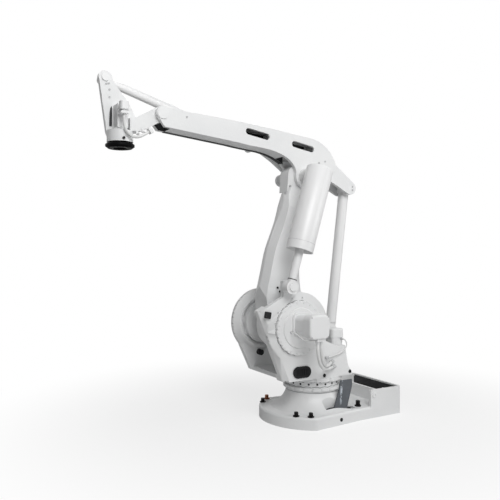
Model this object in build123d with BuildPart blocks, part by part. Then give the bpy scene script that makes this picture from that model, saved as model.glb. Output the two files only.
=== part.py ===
from build123d import *
import os
from math import atan2, cos, degrees, hypot, radians, sin, tan

os.makedirs("parts", exist_ok=True)

# Frame: millimetres, Z up, X forward, Y to the robot's left. The origin lies on the
# floor, on the vertical axis that the whole robot turns about.

# Clearances
turn_gap = 0.3
bore_gap = 0.3

# Arm linkage, drawn in the side view as (X, Z)
shoulder = (300.0, 814.5)
lower_length = 1280.0
lower_lean = 7.05
upper_length = 1350.0
upper_rise = 17.1
tail_reach = 505.6
tail_turn = 171.5
link_reach = 464.5
link_turn = 32.6
rear_link_reach = 140.0
rear_link_turn = 170.0
balance_reach = 366.0
balance_turn = 69.9
tool_reach = 299.0
flange_drop = 278.0

# Widths across the robot, as distances from the middle plane
near_wall_outer = 236.0
near_wall_inner = 190.0
far_wall_inner = 350.0
far_wall_outer = 396.0
hub_half = 100.0
lower_half = 90.0
head_half = 62.0
plate_inner = 66.0
plate_outer = 100.0
crank_outer = 165.0
rod_layer_inner = 107.0
rod_layer_outer = 163.0
low_rod_inner = 171.0
low_rod_outer = 215.0
lever_inner = 220.0
lever_outer = 258.0
lever_tip_inner = 168.0
lever_tip_outer = 206.0
elbow_far_end = 300.0
balance_plane = 300.0

# Base
base_radius = 465.0
base_front_x = 235.0
base_front_half = 401.0
base_waist_x = -257.0
base_waist_half = 347.0
base_rear_x = -745.0
base_rear_half = 335.0
base_corner = 40.0
front_corner = 60.0
plate_height = 100.0
plate_edge = 20.0
dome_radius = 365.0
pedestal_radius = 228.0
pedestal_height = 240.0
trough_front_x = -530.0
trough_wall = 20.0
trough_floor = 30.0
trough_front_height = 210.0
wall_step_x = -381.0
bolt_hole_radius = 13.5
front_bolt_x = 345.0
front_bolt_y = 265.0
side_bolt_x = 255.0
side_bolt_y = 345.0
rear_bolt_x = -300.0
well_radius = 172.0
well_floor = 110.0
gear_radius = 150.0
slew_ring_height = 8.0
slot_x = (-250.0, 70.0)
slot_y = (240.0, 305.0)
slot_floor = 70.0
guard_width = 92.0
guard_thickness = 8.0
guard_lean = 18.5
guard_drift = 145.0
guard_top = 335.0

# Rotating frame
frame_floor = 376.0
floor_thickness = 34.0
wall_radius = 295.0
frame_front = (396.0, 388.0)
horn = (652.0, 1011.0)
frame_foot_x = -259.0
frame_rear_x = -215.0
shoulder_step = (-182.0, 635.0)
far_wall_front = ((416.0, 386.0), (514.0, 596.0), (590.0, 790.0))
front_lip = 35.0
front_lip_depth = 45.0
lip_inner = 105.0
neck_radius = 232.0
scallop_ring_radius = 252.0
scallop_count = 20
cover_radius = 225.0
cover_thickness = 26.0
cover_face_radius = 168.0
motor_body = 160.0
motor_cap = 192.0
motor_corner = 45.0
motor_x = 295.0
motor_z = 850.0
motor_end = 527.0
motor_cap_length = 95.0
slew_motor_x = -150.0
slew_motor_y = 122.0
slew_motor_width = 128.0
slew_motor_top = 770.0
slew_cap_height = 74.0
gear_unit_radius = 190.0
hub_shaft_radius = 58.0
web_top = 590.0
rim_ridge = 14.0

# Arm castings
elbow_shaft_radius = 45.0
wrist_shaft_radius = 26.0
link_pin_radius = 18.0
tail_pin_radius = 24.0
link_rod_radius = 29.0
link_eye_radius = 36.0
rod_radius = 45.0
rod_eye_radius = 58.0
rod_half = 30.0
lower_hub_radius = 205.0
lower_head_radius = 88.0
lower_lobe = (75.0, 1285.0)
lower_lobe_radius = 72.0
lower_front = ((276, 300), (261, 424), (240, 616), (172, 886), (138, 1111))
front_ridge = 30.0
arm_waist = (1010.0, 1110.0)
arm_end = 1500.0
arm_wall = 20.0

# Balancer
cylinder_radius = 112.0
cylinder_bore = 104.0
cylinder_above = 95.0
cylinder_below = 662.0
cylinder_cap = 290.0
balance_rod_radius = 35.0
balance_rod_length = 620.0
balance_eye_radius = 56.0
balance_eye_half = 36.0
balance_pin_radius = 24.0

# Wrist
flange_radius = 107.0
flange_thickness = 44.0
pilot_radius = 50.0
tool_bolt_circle = 80.0
tool_bolt_radius = 6.0
tool_bolt_count = 6
gear_house_radius = 96.0
gear_house_height = 84.0
wrist_motor_radius = 62.0
wrist_motor_height = 222.0

# Cables: bend points of each tube, from its first end to its last
conduit_radius = 13.0
lead_radius = 5.3
hose_radius = 11.0
conduit_front_route = (
    (288, 480, 722), (288, 480, 666), (266, 464, 591), (221, 433, 526),
    (152, 385, 481), (67, 325, 466), (-23, 262, 463),
)
conduit_rear_route = (
    (252, 480, 722), (252, 480, 668), (235, 466, 603), (190, 429, 540),
    (129, 378, 502), (60, 321, 495), (-9, 264, 504),
)
motor_lead_route = (
    (402, 284, 789), (402, 332, 789), (401, 386, 770), (402, 437, 751),
    (385, 466, 745), (355, 484, 743), (312, 484, 743),
)
slew_lead_route = (
    (-180, 206, 684), (-180, 226, 684), (-182, 245, 674), (-183, 257, 656), (-179, 262, 632),
    (-155, 263, 600), (-105, 259, 572), (-48, 253, 556), (6, 247, 547),
)
hose_route = (
    (1737, 110, 2455), (1737, 110, 2415), (1734, 112, 2355), (1720, 114, 2316),
    (1693, 112, 2290), (1659, 106, 2279), (1621, 100, 2284), (1581, 94, 2304), (1540, 88, 2333),
)


def at(pivot, length, angle):
    """Point of the side view at a distance from a pivot, at an angle above forward."""
    return (pivot[0] + length * cos(radians(angle)), pivot[1] + length * sin(radians(angle)))


def side(pivot, y, angle=0.0):
    """Side-view plane through a pivot at one Y, facing the robot's right."""
    forward = (cos(radians(angle)), 0, sin(radians(angle)))
    return Plane(origin=(pivot[0], y, pivot[1]), x_dir=forward, z_dir=(0, -1, 0))


def barrel(pivot, y_left, y_right, radius, mode=Mode.ADD):
    """Round bar along Y, from y_left down to y_right, joined to or cut from the part."""
    with BuildSketch(side(pivot, y_left)) as round_face:
        Circle(radius)
    extrude(round_face.sketch, amount=y_left - y_right, mode=mode)


def motor_shape(plane, width, corner, length, mode=Mode.ADD):
    """Rounded square block, as a servo motor's housing, raised from a plane."""
    with BuildSketch(plane) as outline:
        RectangleRounded(width, width, corner)
    extrude(outline.sketch, amount=length, mode=mode)


def scalloped_disc(plane, radius, count, depth, thickness):
    """Disc whose rim has round bites between its screw lugs."""
    with BuildSketch(plane) as outline:
        Circle(radius)
        with PolarLocations(radius + depth * 0.9, count):
            Circle(depth * 2, mode=Mode.SUBTRACT)
    extrude(outline.sketch, amount=thickness)


def tube(label, route, radius):
    """Round tube on straight runs joined by tangent arcs, each as wide as its runs allow."""
    points = [Vector(*place) for place in route]
    runs = [end - start for start, end in zip(points, points[1:])]
    radii = [
        0.45 * min(first.length, second.length) / tan(radians(first.get_angle(second)) / 2)
        for first, second in zip(runs, runs[1:])
    ]
    with BuildLine() as path:
        FilletPolyline(*points, radius=radii)
    with BuildSketch(Plane(origin=points[0], z_dir=runs[0])) as section:
        Circle(radius)
    sweep(section.sketch, path=path.line)
    length = sum(edge.length for edge in path.line.edges())
    print(label, "length", round(length, 1), "least bend", round(min(radii), 1),
          "in diameters", round(min(radii) / radius / 2, 1))


def end_plane(route):
    """Plane on the last end of a route, facing onwards."""
    last = Vector(*route[-1])
    return Plane(origin=last, z_dir=last - Vector(*route[-2]))


elbow = at(shoulder, lower_length, 90 + lower_lean)
wrist = at(elbow, upper_length, upper_rise)
tail = at(elbow, tail_reach, upper_rise + tail_turn)
crank_pin_place = at(shoulder, tail_reach, upper_rise + tail_turn)
front_link = at(elbow, link_reach, link_turn)
tilt_pivot = at(wrist, link_reach, link_turn)
rear_link = at(elbow, rear_link_reach, rear_link_turn)
anchor = at(shoulder, rear_link_reach, rear_link_turn)
balance_point = at(shoulder, balance_reach, balance_turn)
balance_span = hypot(elbow[0] - balance_point[0], elbow[1] - balance_point[1])
balance_angle = degrees(atan2(elbow[1] - balance_point[1], elbow[0] - balance_point[0]))
tool_x = wrist[0] + tool_reach
flange_face = wrist[1] - flange_drop
floor_top = frame_floor + floor_thickness
ring_top = pedestal_height + slew_ring_height


# Base casting: round front, tapering sides, a domed pedestal and the rear cable trough
def base_outline():
    """Closed line of the base's plan, with its front arc about the turning axis."""
    ThreePointArc((base_front_x, -base_front_half), (base_radius, 0), (base_front_x, base_front_half))
    Polyline(
        (base_front_x, base_front_half),
        (base_waist_x, base_waist_half),
        (base_rear_x, base_rear_half),
        (base_rear_x, -base_rear_half),
        (base_waist_x, -base_waist_half),
        (base_front_x, -base_front_half),
    )


step_half = base_waist_half + (base_rear_half - base_waist_half) * (
    (wall_step_x - base_waist_x) / (base_rear_x - base_waist_x)
)
with BuildPart() as base_casting:
    with BuildSketch(Plane.XY) as plan:
        with BuildLine():
            base_outline()
        make_face()
        fillet(plan.vertices().sort_by(Axis.X)[:2], base_corner)
        fillet(plan.vertices().sort_by(Axis.X)[-2:], front_corner)
    extrude(amount=plate_height)
    fillet(base_casting.faces().sort_by(Axis.Z)[-1].edges(), plate_edge)
    with BuildSketch(Plane.XZ):
        with BuildLine():
            ThreePointArc(
                (dome_radius, plate_height),
                (pedestal_radius + 52, plate_height + 48),
                (pedestal_radius, pedestal_height),
            )
            Polyline(
                (pedestal_radius, pedestal_height),
                (0, pedestal_height),
                (0, plate_height - plate_edge),
                (dome_radius, plate_height - plate_edge),
                (dome_radius, plate_height),
            )
        make_face()
    revolve(axis=Axis.Z)
    with BuildSketch(Plane.XY) as trough_plan:
        with BuildLine():
            Polyline(
                (wall_step_x, step_half),
                (base_rear_x, base_rear_half),
                (base_rear_x, -base_rear_half),
                (wall_step_x, -step_half),
                close=True,
            )
        make_face()
        fillet(trough_plan.vertices().sort_by(Axis.X)[:2], base_corner)
    extrude(amount=pedestal_height)
    trough_inner = 2 * (base_rear_half - trough_wall)
    trough_back = base_rear_x + trough_wall
    trough_front_back = trough_front_x - trough_wall
    with BuildSketch(Plane.XY.offset(trough_floor)):
        with Locations(((trough_back + trough_front_back) / 2, 0)):
            RectangleRounded(trough_front_back - trough_back, trough_inner, base_corner / 2)
    extrude(amount=pedestal_height, mode=Mode.SUBTRACT)
    with BuildSketch(Plane.XY.offset(plate_height)):
        with Locations(((trough_front_x + wall_step_x) / 2, 0)):
            Rectangle(wall_step_x - trough_front_x, trough_inner)
    extrude(amount=pedestal_height, mode=Mode.SUBTRACT)
    with BuildSketch(Plane.XY.offset(trough_front_height)):
        with Locations(((trough_front_x + trough_front_back) / 2, 0)):
            Rectangle(trough_wall, trough_inner)
    extrude(amount=pedestal_height, mode=Mode.SUBTRACT)
    with BuildSketch(Plane.XY):
        with Locations(
            (front_bolt_x, front_bolt_y),
            (front_bolt_x, -front_bolt_y),
            (side_bolt_x, side_bolt_y),
            (side_bolt_x, -side_bolt_y),
            (rear_bolt_x, front_bolt_y),
            (rear_bolt_x, -front_bolt_y),
        ):
            Circle(bolt_hole_radius)
    extrude(amount=pedestal_height, mode=Mode.SUBTRACT)
    with BuildSketch(Plane.XY.offset(well_floor)):
        Circle(well_radius)
    extrude(amount=pedestal_height, mode=Mode.SUBTRACT)
    with BuildSketch(Plane.XY.offset(slot_floor)):
        with Locations((sum(slot_x) / 2, sum(slot_y) / 2)):
            RectangleRounded(slot_x[1] - slot_x[0], slot_y[1] - slot_y[0], 12)
    extrude(amount=pedestal_height, mode=Mode.SUBTRACT)
base_casting.part.label = "base_casting"
export_step(base_casting.part, "parts/base_casting.step")

# Slewing bearing's fixed ring, on the pedestal's rim
with BuildPart() as slew_bearing:
    with BuildSketch(Plane.XY.offset(pedestal_height)):
        Circle(pedestal_radius - 8)
        Circle(well_radius + 8, mode=Mode.SUBTRACT)
    extrude(amount=slew_ring_height - turn_gap)
slew_bearing.part.label = "slew_bearing"
export_step(slew_bearing.part, "parts/slew_bearing.step")

# Slewing gear unit, standing in the pedestal's well
with BuildPart() as slew_gear_unit:
    with BuildSketch(Plane.XY.offset(well_floor)):
        Circle(gear_radius)
    extrude(amount=90)
    with BuildSketch(Plane.XY.offset(well_floor + 90)):
        Circle(gear_radius - 40)
    extrude(amount=ring_top - turn_gap - well_floor - 90)
slew_gear_unit.part.label = "slew_gear_unit"
export_step(slew_gear_unit.part, "parts/slew_gear_unit.step")

# Cable guard: a leaning sheet that rises from the base's slot beside the pedestal
guard_base = ((slot_x[0] + slot_x[1]) / 2 - 36, slot_y[1] - 15, slot_floor + 2)
guard_rise = (guard_top - slot_floor) / cos(radians(guard_lean))
with BuildPart() as cable_guard:
    guard_plane = Plane(
        origin=guard_base,
        x_dir=(1, 0, 0),
        z_dir=(0, -cos(radians(guard_lean)), -sin(radians(guard_lean))),
    )
    with BuildSketch(guard_plane):
        with BuildLine():
            half = guard_width / 2
            low = guard_rise * 0.35
            Polyline((-half, 0), (half, 0), (half - 4, low))
            Spline((half - 4, low), (half - guard_drift * 0.45, guard_rise * 0.7),
                   (half - guard_drift, guard_rise))
            Polyline((half - guard_drift, guard_rise), (-half - guard_drift, guard_rise))
            Spline((-half - guard_drift, guard_rise), (-half - guard_drift * 0.45, guard_rise * 0.7),
                   (-half - 4, low))
            Line((-half - 4, low), (-half, 0))
        make_face()
    extrude(amount=guard_thickness / 2, both=True)
cable_guard.part.label = "cable_guard"
export_step(cable_guard.part, "parts/cable_guard.step")

# Connector plate and sockets on the inner face of the trough's front plate
socket_z = 130.0
with BuildPart() as connector_plate:
    with BuildSketch(Plane.YZ.offset(trough_front_back)):
        with Locations((0, socket_z)):
            RectangleRounded(360, 120, 8)
    extrude(amount=-6)
connector_plate.part.label = "connector_plate"
export_step(connector_plate.part, "parts/connector_plate.step")

with BuildPart() as cable_sockets:
    with BuildSketch(Plane.YZ.offset(trough_front_back - 6)):
        with Locations((-110, socket_z), (110, socket_z)):
            RectangleRounded(92, 60, 8)
        with Locations((0, socket_z)):
            Circle(26)
    extrude(amount=-42)
    with BuildSketch(Plane.YZ.offset(trough_front_back - 48)):
        with Locations((-110, socket_z), (110, socket_z)):
            RectangleRounded(76, 44, 5)
        with Locations((0, socket_z)):
            Circle(18)
    extrude(amount=28, mode=Mode.SUBTRACT)
cable_sockets.part.label = "cable_sockets"
export_step(cable_sockets.part, "parts/cable_sockets.step")

# Turntable: scalloped foot ring, neck and bolting flange under the rotating frame
with BuildPart() as turntable:
    with BuildSketch(Plane.XY.offset(ring_top)):
        Circle(neck_radius)
    extrude(amount=frame_floor - ring_top)
    scalloped_disc(Plane.XY.offset(ring_top + 16), scallop_ring_radius, scallop_count, 7, 24)
    scalloped_disc(Plane.XY.offset(frame_floor - 34), scallop_ring_radius + 8, 12, 9, 34)
    with BuildSketch(Plane.XY.offset(ring_top)):
        Circle(gear_radius - 60)
    extrude(amount=frame_floor - ring_top, mode=Mode.SUBTRACT)
turntable.part.label = "turntable"
export_step(turntable.part, "parts/turntable.step")

# Rotating frame: a floor between two walls, each with a round top about the shoulder
lug_radius = 50.0
with BuildPart() as frame_casting:
    with BuildSketch(Plane.XY.offset(frame_floor)) as floor_plan:
        with Locations(((frame_front[0] + frame_foot_x) / 2, (near_wall_outer - far_wall_outer) / 2)):
            RectangleRounded(frame_front[0] - frame_foot_x, near_wall_outer + far_wall_outer, 30)
    extrude(amount=floor_thickness)
    with BuildSketch(side((0, 0), near_wall_outer)) as near_profile:
        with BuildLine():
            Polyline(
                frame_front, horn,
                at(shoulder, wall_radius, 74),
                shoulder,
                at(shoulder, wall_radius, 205),
                (shoulder_step[0] + 90, shoulder_step[1]),
                shoulder_step,
                (frame_rear_x, 459),
                (frame_foot_x, 394),
                (frame_foot_x, frame_floor),
                (frame_front[0], frame_floor),
                close=True,
            )
        make_face()
        with Locations(shoulder):
            Circle(wall_radius)
        with BuildLine():
            Polyline(
                at(balance_point, lug_radius, balance_turn + 90),
                at(balance_point, lug_radius, balance_turn - 90),
                at(shoulder, wall_radius * 0.9, balance_turn - 18),
                at(shoulder, wall_radius * 0.9, balance_turn + 18),
                close=True,
            )
        make_face()
        with Locations(balance_point):
            Circle(lug_radius)
    extrude(amount=near_wall_outer - near_wall_inner)
    with BuildSketch(side((0, 0), -far_wall_inner)):
        with BuildLine():
            Polyline(
                *far_wall_front,
                shoulder,
                at(shoulder, wall_radius, 205),
                (shoulder_step[0] + 90, shoulder_step[1]),
                shoulder_step,
                (frame_rear_x, 459),
                (frame_foot_x, 394),
                (frame_foot_x, frame_floor),
                (frame_front[0], frame_floor),
                close=True,
            )
        make_face()
        with Locations(shoulder):
            Circle(wall_radius)
    extrude(amount=far_wall_outer - far_wall_inner)
    web_end = slew_motor_y - slew_motor_width / 2 - 12
    with BuildSketch(side((0, 0), web_end)):
        with BuildLine():
            Polyline(
                (frame_rear_x, floor_top - 4), (frame_rear_x + 34, floor_top - 4),
                (frame_rear_x + 34, web_top), (frame_rear_x + 14, web_top),
                close=True,
            )
        make_face()
    extrude(amount=web_end + far_wall_inner)
    with BuildSketch(side(shoulder, rim_ridge - far_wall_inner)):
        Circle(gear_unit_radius + 58)
        Circle(gear_unit_radius + 15, mode=Mode.SUBTRACT)
    extrude(amount=rim_ridge)
    edge_run = (horn[0] - frame_front[0], horn[1] - frame_front[1])
    edge_length = hypot(*edge_run)
    edge_plane = Plane(
        origin=(frame_front[0], 0, frame_front[1]),
        x_dir=(edge_run[1], 0, -edge_run[0]),
        z_dir=(edge_run[0], 0, edge_run[1]),
    )
    with BuildSketch(edge_plane):
        with BuildLine():
            Polyline(
                (0, near_wall_outer), (front_lip, near_wall_inner + 1), (front_lip, lip_inner),
                (-front_lip_depth, lip_inner), (-front_lip_depth, near_wall_outer), close=True,
            )
        make_face()
    extrude(amount=edge_length)
frame_casting.part.label = "frame_casting"
export_step(frame_casting.part, "parts/frame_casting.step")

# Vent cover: black oval with ribs, low on the near wall
vent_place = (270.0, 447.0)
with BuildPart() as vent_cover:
    with BuildSketch(side(vent_place, near_wall_outer + 12)):
        SlotOverall(152, 84)
        with GridLocations(26, 0, 4, 1):
            Circle(48)
    extrude(amount=12)
    with BuildSketch(side(vent_place, near_wall_outer + 12)):
        with GridLocations(18, 0, 7, 1):
            SlotOverall(58, 7, rotation=90)
    extrude(amount=6, mode=Mode.SUBTRACT)
vent_cover.part.label = "vent_cover"
export_step(vent_cover.part, "parts/vent_cover.step")

# Bump stop: rubber block in the near wall's front horn
bump_place = (604.0, 935.0)
with BuildPart() as bump_stop:
    with BuildSketch(side(bump_place, near_wall_outer + 22, 10)):
        RectangleRounded(54, 54, 8)
    extrude(amount=22)
    fillet(bump_stop.faces().sort_by(Axis.Y)[-1].edges(), 5)
bump_stop.part.label = "bump_stop"
export_step(bump_stop.part, "parts/bump_stop.step")

damper_place = (335.0, 535.0)
# Far damper: the rubber stop that meets the lower arm, on a bracket of the far wall
with BuildPart() as far_damper:
    barrel(damper_place, -far_wall_inner + 46, -far_wall_inner, 26)
far_damper.part.label = "far_damper"
export_step(far_damper.part, "parts/far_damper.step")

# Shoulder drives: a gear unit, a scalloped cover and a motor on each wall
with BuildPart() as shoulder_gear_unit:
    barrel(shoulder, near_wall_inner, near_wall_inner - 50, gear_unit_radius)
    barrel(shoulder, near_wall_inner - 50, hub_half + turn_gap, gear_unit_radius - 32)
shoulder_gear_unit.part.label = "shoulder_gear_unit"
export_step(shoulder_gear_unit.part, "parts/shoulder_gear_unit.step")

with BuildPart() as link_gear_unit:
    barrel(shoulder, -elbow_far_end, -far_wall_inner, gear_unit_radius)
link_gear_unit.part.label = "link_gear_unit"
export_step(link_gear_unit.part, "parts/link_gear_unit.step")

cover_front = near_wall_outer + cover_thickness
with BuildPart() as shoulder_cover:
    scalloped_disc(side(shoulder, cover_front), cover_radius, 20, 6, cover_thickness)
    chamfer(shoulder_cover.faces().sort_by(Axis.Y)[-1].edges(), 3)
    with BuildSketch(side(shoulder, cover_front)):
        Circle(cover_face_radius)
    extrude(amount=-10, taper=30)
shoulder_cover.part.label = "shoulder_cover"
export_step(shoulder_cover.part, "parts/shoulder_cover.step")

link_cover_front = far_wall_outer + cover_thickness
with BuildPart() as link_cover:
    scalloped_disc(side(shoulder, -far_wall_outer), cover_radius, 20, 6, cover_thickness)
    chamfer(link_cover.faces().sort_by(Axis.Y)[0].edges(), 3)
    with BuildSketch(side(shoulder, -link_cover_front)):
        Circle(cover_face_radius)
    extrude(amount=10, taper=30)
link_cover.part.label = "link_cover"
export_step(link_cover.part, "parts/link_cover.step")

motor_base = cover_front + 10
cap_start = motor_end - motor_cap_length
motor_place = (motor_x, motor_z)
with BuildPart() as shoulder_motor:
    motor_shape(side(motor_place, motor_base + 16), motor_body + 24, motor_corner, 16)
    motor_shape(side(motor_place, cap_start), motor_body, motor_corner, cap_start - motor_base)
shoulder_motor.part.label = "shoulder_motor"
export_step(shoulder_motor.part, "parts/shoulder_motor.step")

with BuildPart() as shoulder_motor_cap:
    motor_shape(side(motor_place, motor_end), motor_cap, motor_corner, motor_cap_length)
    fillet(shoulder_motor_cap.faces().sort_by(Axis.Y)[-1].edges(), 16)
shoulder_motor_cap.part.label = "shoulder_motor_cap"
export_step(shoulder_motor_cap.part, "parts/shoulder_motor_cap.step")

link_motor_base = link_cover_front + 10
link_motor_end = link_motor_base + motor_end - motor_base
with BuildPart() as link_motor:
    motor_shape(side(motor_place, -link_motor_base), motor_body + 24, motor_corner, 16)
    motor_shape(side(motor_place, -link_motor_base), motor_body, motor_corner, cap_start - motor_base)
link_motor.part.label = "link_motor"
export_step(link_motor.part, "parts/link_motor.step")

with BuildPart() as link_motor_cap:
    motor_shape(side(motor_place, motor_cap_length - link_motor_end), motor_cap, motor_corner, motor_cap_length)
    fillet(link_motor_cap.faces().sort_by(Axis.Y)[0].edges(), 16)
link_motor_cap.part.label = "link_motor_cap"
export_step(link_motor_cap.part, "parts/link_motor_cap.step")

# Slewing motor: upright on the frame's floor behind the near wall
with BuildPart() as slew_motor:
    motor_shape(
        Plane((slew_motor_x, slew_motor_y, floor_top)),
        slew_motor_width - 12, 24, slew_motor_top - slew_cap_height - floor_top,
    )
slew_motor.part.label = "slew_motor"
export_step(slew_motor.part, "parts/slew_motor.step")

with BuildPart() as slew_motor_cap:
    motor_shape(
        Plane((slew_motor_x, slew_motor_y, slew_motor_top - slew_cap_height)),
        slew_motor_width, 28, slew_cap_height,
    )
    fillet(slew_motor_cap.faces().sort_by(Axis.Z)[-1].edges(), 10)
slew_motor_cap.part.label = "slew_motor_cap"
export_step(slew_motor_cap.part, "parts/slew_motor_cap.step")

# Pins of the rotating frame: the balancer's foot and the lower link's anchor
with BuildPart() as balance_pin:
    barrel(balance_point, balance_plane + balance_eye_half + 6, near_wall_outer, balance_pin_radius)
    barrel(balance_point, balance_plane - balance_eye_half - turn_gap, near_wall_outer, balance_pin_radius + 14)
    barrel(balance_point, balance_plane + balance_eye_half + 14,
           balance_plane + balance_eye_half + turn_gap, balance_pin_radius + 8)
balance_pin.part.label = "balance_pin"
export_step(balance_pin.part, "parts/balance_pin.step")

with BuildPart() as anchor_pin:
    barrel(anchor, -low_rod_inner, -elbow_far_end, link_pin_radius)
    barrel(anchor, -low_rod_outer - turn_gap, -elbow_far_end, link_pin_radius + 14)
anchor_pin.part.label = "anchor_pin"
export_step(anchor_pin.part, "parts/anchor_pin.step")

# Lower arm: a bowed casting with a wide hub at the shoulder and a narrow head at the elbow
with BuildPart() as lower_arm:
    with BuildSketch(side(shoulder, hub_half, lower_lean)) as arm_profile:
        with BuildLine():
            l1 = Spline(*lower_front)
            l2 = Line(l1 @ 1, (lower_lobe[0] + lower_lobe_radius, lower_lobe[1]))
            l3 = Polyline(l2 @ 1, (0, lower_length), (-lower_head_radius, lower_length))
            l4 = Line(l3 @ 1, (-78, lower_length - 90))
            l5 = Spline(l4 @ 1, (-58, 939), (-44, 492), (-150, 160))
            l6 = Polyline(l5 @ 1, (0, 0), (lower_hub_radius, 20), lower_front[0])
        make_face()
        Circle(lower_hub_radius)
        with Locations((0, lower_length)):
            Circle(lower_head_radius)
        with Locations(lower_lobe):
            Circle(lower_lobe_radius)
    extrude(amount=2 * hub_half)
    with BuildSketch(Plane(
        origin=(shoulder[0], 0, shoulder[1]), x_dir=(0, 1, 0),
        z_dir=(cos(radians(lower_lean)), 0, sin(radians(lower_lean))),
    )):
        with BuildLine():
            Polyline(
                (-hub_half, -400), (hub_half, -400), (hub_half, 190), (lower_half, 300),
                (lower_half, arm_waist[0]), (head_half, arm_waist[1]), (head_half, arm_end),
                (-head_half, arm_end), (-head_half, arm_waist[1]), (-lower_half, arm_waist[0]),
                (-lower_half, 300), (-hub_half, 190), close=True,
            )
        make_face()
    extrude(amount=600, both=True, mode=Mode.INTERSECT)
    arm_side = side(shoulder, 0, lower_lean)
    front_line = ((286, 214), *lower_front, (118, 1190))
    with BuildLine() as front_path:
        Spline(*(arm_side.from_local_coords(Vector(x, z, 0)) for x, z in front_line))
    for turn in (1, -1):
        with BuildSketch(Plane(front_path.line @ 0, x_dir=(0, turn, 0), z_dir=front_path.line % 0)):
            with BuildLine():
                Polyline((4, 0), (4, -3 * turn), (130, -3 * turn),
                         (130, front_ridge * 1.4 * turn), close=True)
            make_face()
        sweep(path=front_path.line, mode=Mode.SUBTRACT)
    barrel(elbow, plate_outer, -plate_outer, elbow_shaft_radius, mode=Mode.SUBTRACT)
lower_arm.part.label = "lower_arm"
export_step(lower_arm.part, "parts/lower_arm.step")

# Elbow shaft: carries the upper arm, the link lever and the balancer's top eye
trunnion_inner = plate_outer + 5
trunnion_bore_end = balance_plane - cylinder_radius + 6
with BuildPart() as elbow_shaft:
    barrel(elbow, trunnion_bore_end - turn_gap, -lever_outer - 12, elbow_shaft_radius)
elbow_shaft.part.label = "elbow_shaft"
export_step(elbow_shaft.part, "parts/elbow_shaft.step")

with BuildPart() as elbow_nut:
    barrel(elbow, -lever_outer - turn_gap, -elbow_far_end, 54)
    barrel(elbow, -lever_outer, -lever_outer - 12, elbow_shaft_radius, mode=Mode.SUBTRACT)
    chamfer(elbow_nut.faces().sort_by(Axis.Y)[0].edges(), 5)
elbow_nut.part.label = "elbow_nut"
export_step(elbow_nut.part, "parts/elbow_nut.step")

# Link lever: the triangle on the elbow that keeps the tool level. Its front end steps
# inwards to the upper link rod, and its hub reaches in to the upper arm's far cheek.
lever_hub_radius = 62.0
front_x, front_z = front_link[0] - elbow[0], front_link[1] - elbow[1]
rear_x, rear_z = rear_link[0] - elbow[0], rear_link[1] - elbow[1]
with BuildPart() as link_lever:
    with BuildSketch(side(elbow, -lever_tip_inner)):
        with BuildLine():
            Polyline(
                (14, 66), (front_x - 82, front_z - 14), (front_x + 16, front_z - link_eye_radius + 3),
                (front_x - 10, front_z + link_eye_radius - 1), (60, 178),
                (rear_x - 8, rear_z + link_eye_radius - 1), (rear_x - 8, rear_z - link_eye_radius + 1),
                (-10, -lever_hub_radius + 1), (40, 0), close=True,
            )
        make_face()
        Circle(lever_hub_radius)
        with Locations((front_x, front_z), (rear_x, rear_z)):
            Circle(link_eye_radius)
    extrude(amount=lever_outer - lever_tip_inner)
    with BuildSketch(Plane.XY.offset(elbow[1] - 400)):
        with Locations((elbow[0], 0)):
            with BuildLine():
                Polyline(
                    (-400, -lever_inner), (70, -lever_inner), (290, -lever_tip_inner),
                    (600, -lever_tip_inner), (600, -lever_tip_outer), (305, -lever_tip_outer),
                    (85, -lever_outer), (-400, -lever_outer), close=True,
                )
            make_face()
    extrude(amount=1000, mode=Mode.INTERSECT)
    barrel(elbow, -plate_outer - turn_gap, -lever_inner, lever_hub_radius)
    barrel(elbow, -plate_outer, -lever_outer, elbow_shaft_radius + bore_gap, mode=Mode.SUBTRACT)
    for pivot in (front_link, rear_link):
        barrel(pivot, -rod_layer_inner, -lever_outer, link_pin_radius, mode=Mode.SUBTRACT)
link_lever.part.label = "link_lever"
export_step(link_lever.part, "parts/link_lever.step")

with BuildPart() as lever_front_pin:
    barrel(front_link, -rod_layer_inner, -lever_tip_outer - 8, link_pin_radius)
    barrel(front_link, -lever_tip_outer, -lever_tip_outer - 8, link_pin_radius + 8)
    barrel(front_link, -rod_layer_outer - turn_gap, -lever_tip_inner, link_pin_radius + 8)
lever_front_pin.part.label = "lever_front_pin"
export_step(lever_front_pin.part, "parts/lever_front_pin.step")

with BuildPart() as lever_rear_pin:
    barrel(rear_link, -low_rod_inner, -lever_outer - 8, link_pin_radius)
    barrel(rear_link, -lever_outer, -lever_outer - 8, link_pin_radius + 8)
    barrel(rear_link, -low_rod_outer - turn_gap, -lever_inner, link_pin_radius + 8)
lever_rear_pin.part.label = "lever_rear_pin"
export_step(lever_rear_pin.part, "parts/lever_rear_pin.step")


def link_rod(start, end, y_inner, y_outer, radius):
    """Round rod with a flat-faced eye at each end, bored for its pins."""
    length = hypot(end[0] - start[0], end[1] - start[1])
    bar_plane = Plane(
        origin=(start[0], -(y_inner + y_outer) / 2, start[1]),
        z_dir=(end[0] - start[0], 0, end[1] - start[1]),
    )
    with BuildSketch(bar_plane) as section:
        Circle(radius)
    extrude(section.sketch, amount=length)
    for pivot in (start, end):
        barrel(pivot, -y_inner, -y_outer, link_eye_radius)
    for pivot in (start, end):
        barrel(pivot, -y_inner, -y_outer, link_pin_radius + bore_gap, mode=Mode.SUBTRACT)


with BuildPart() as lower_link_rod:
    link_rod(anchor, rear_link, low_rod_inner, low_rod_outer, 20)
lower_link_rod.part.label = "lower_link_rod"
export_step(lower_link_rod.part, "parts/lower_link_rod.step")

with BuildPart() as upper_link_rod:
    link_rod(front_link, tilt_pivot, rod_layer_inner, rod_layer_outer, link_rod_radius - 2)
upper_link_rod.part.label = "upper_link_rod"
export_step(upper_link_rod.part, "parts/upper_link_rod.step")

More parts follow.
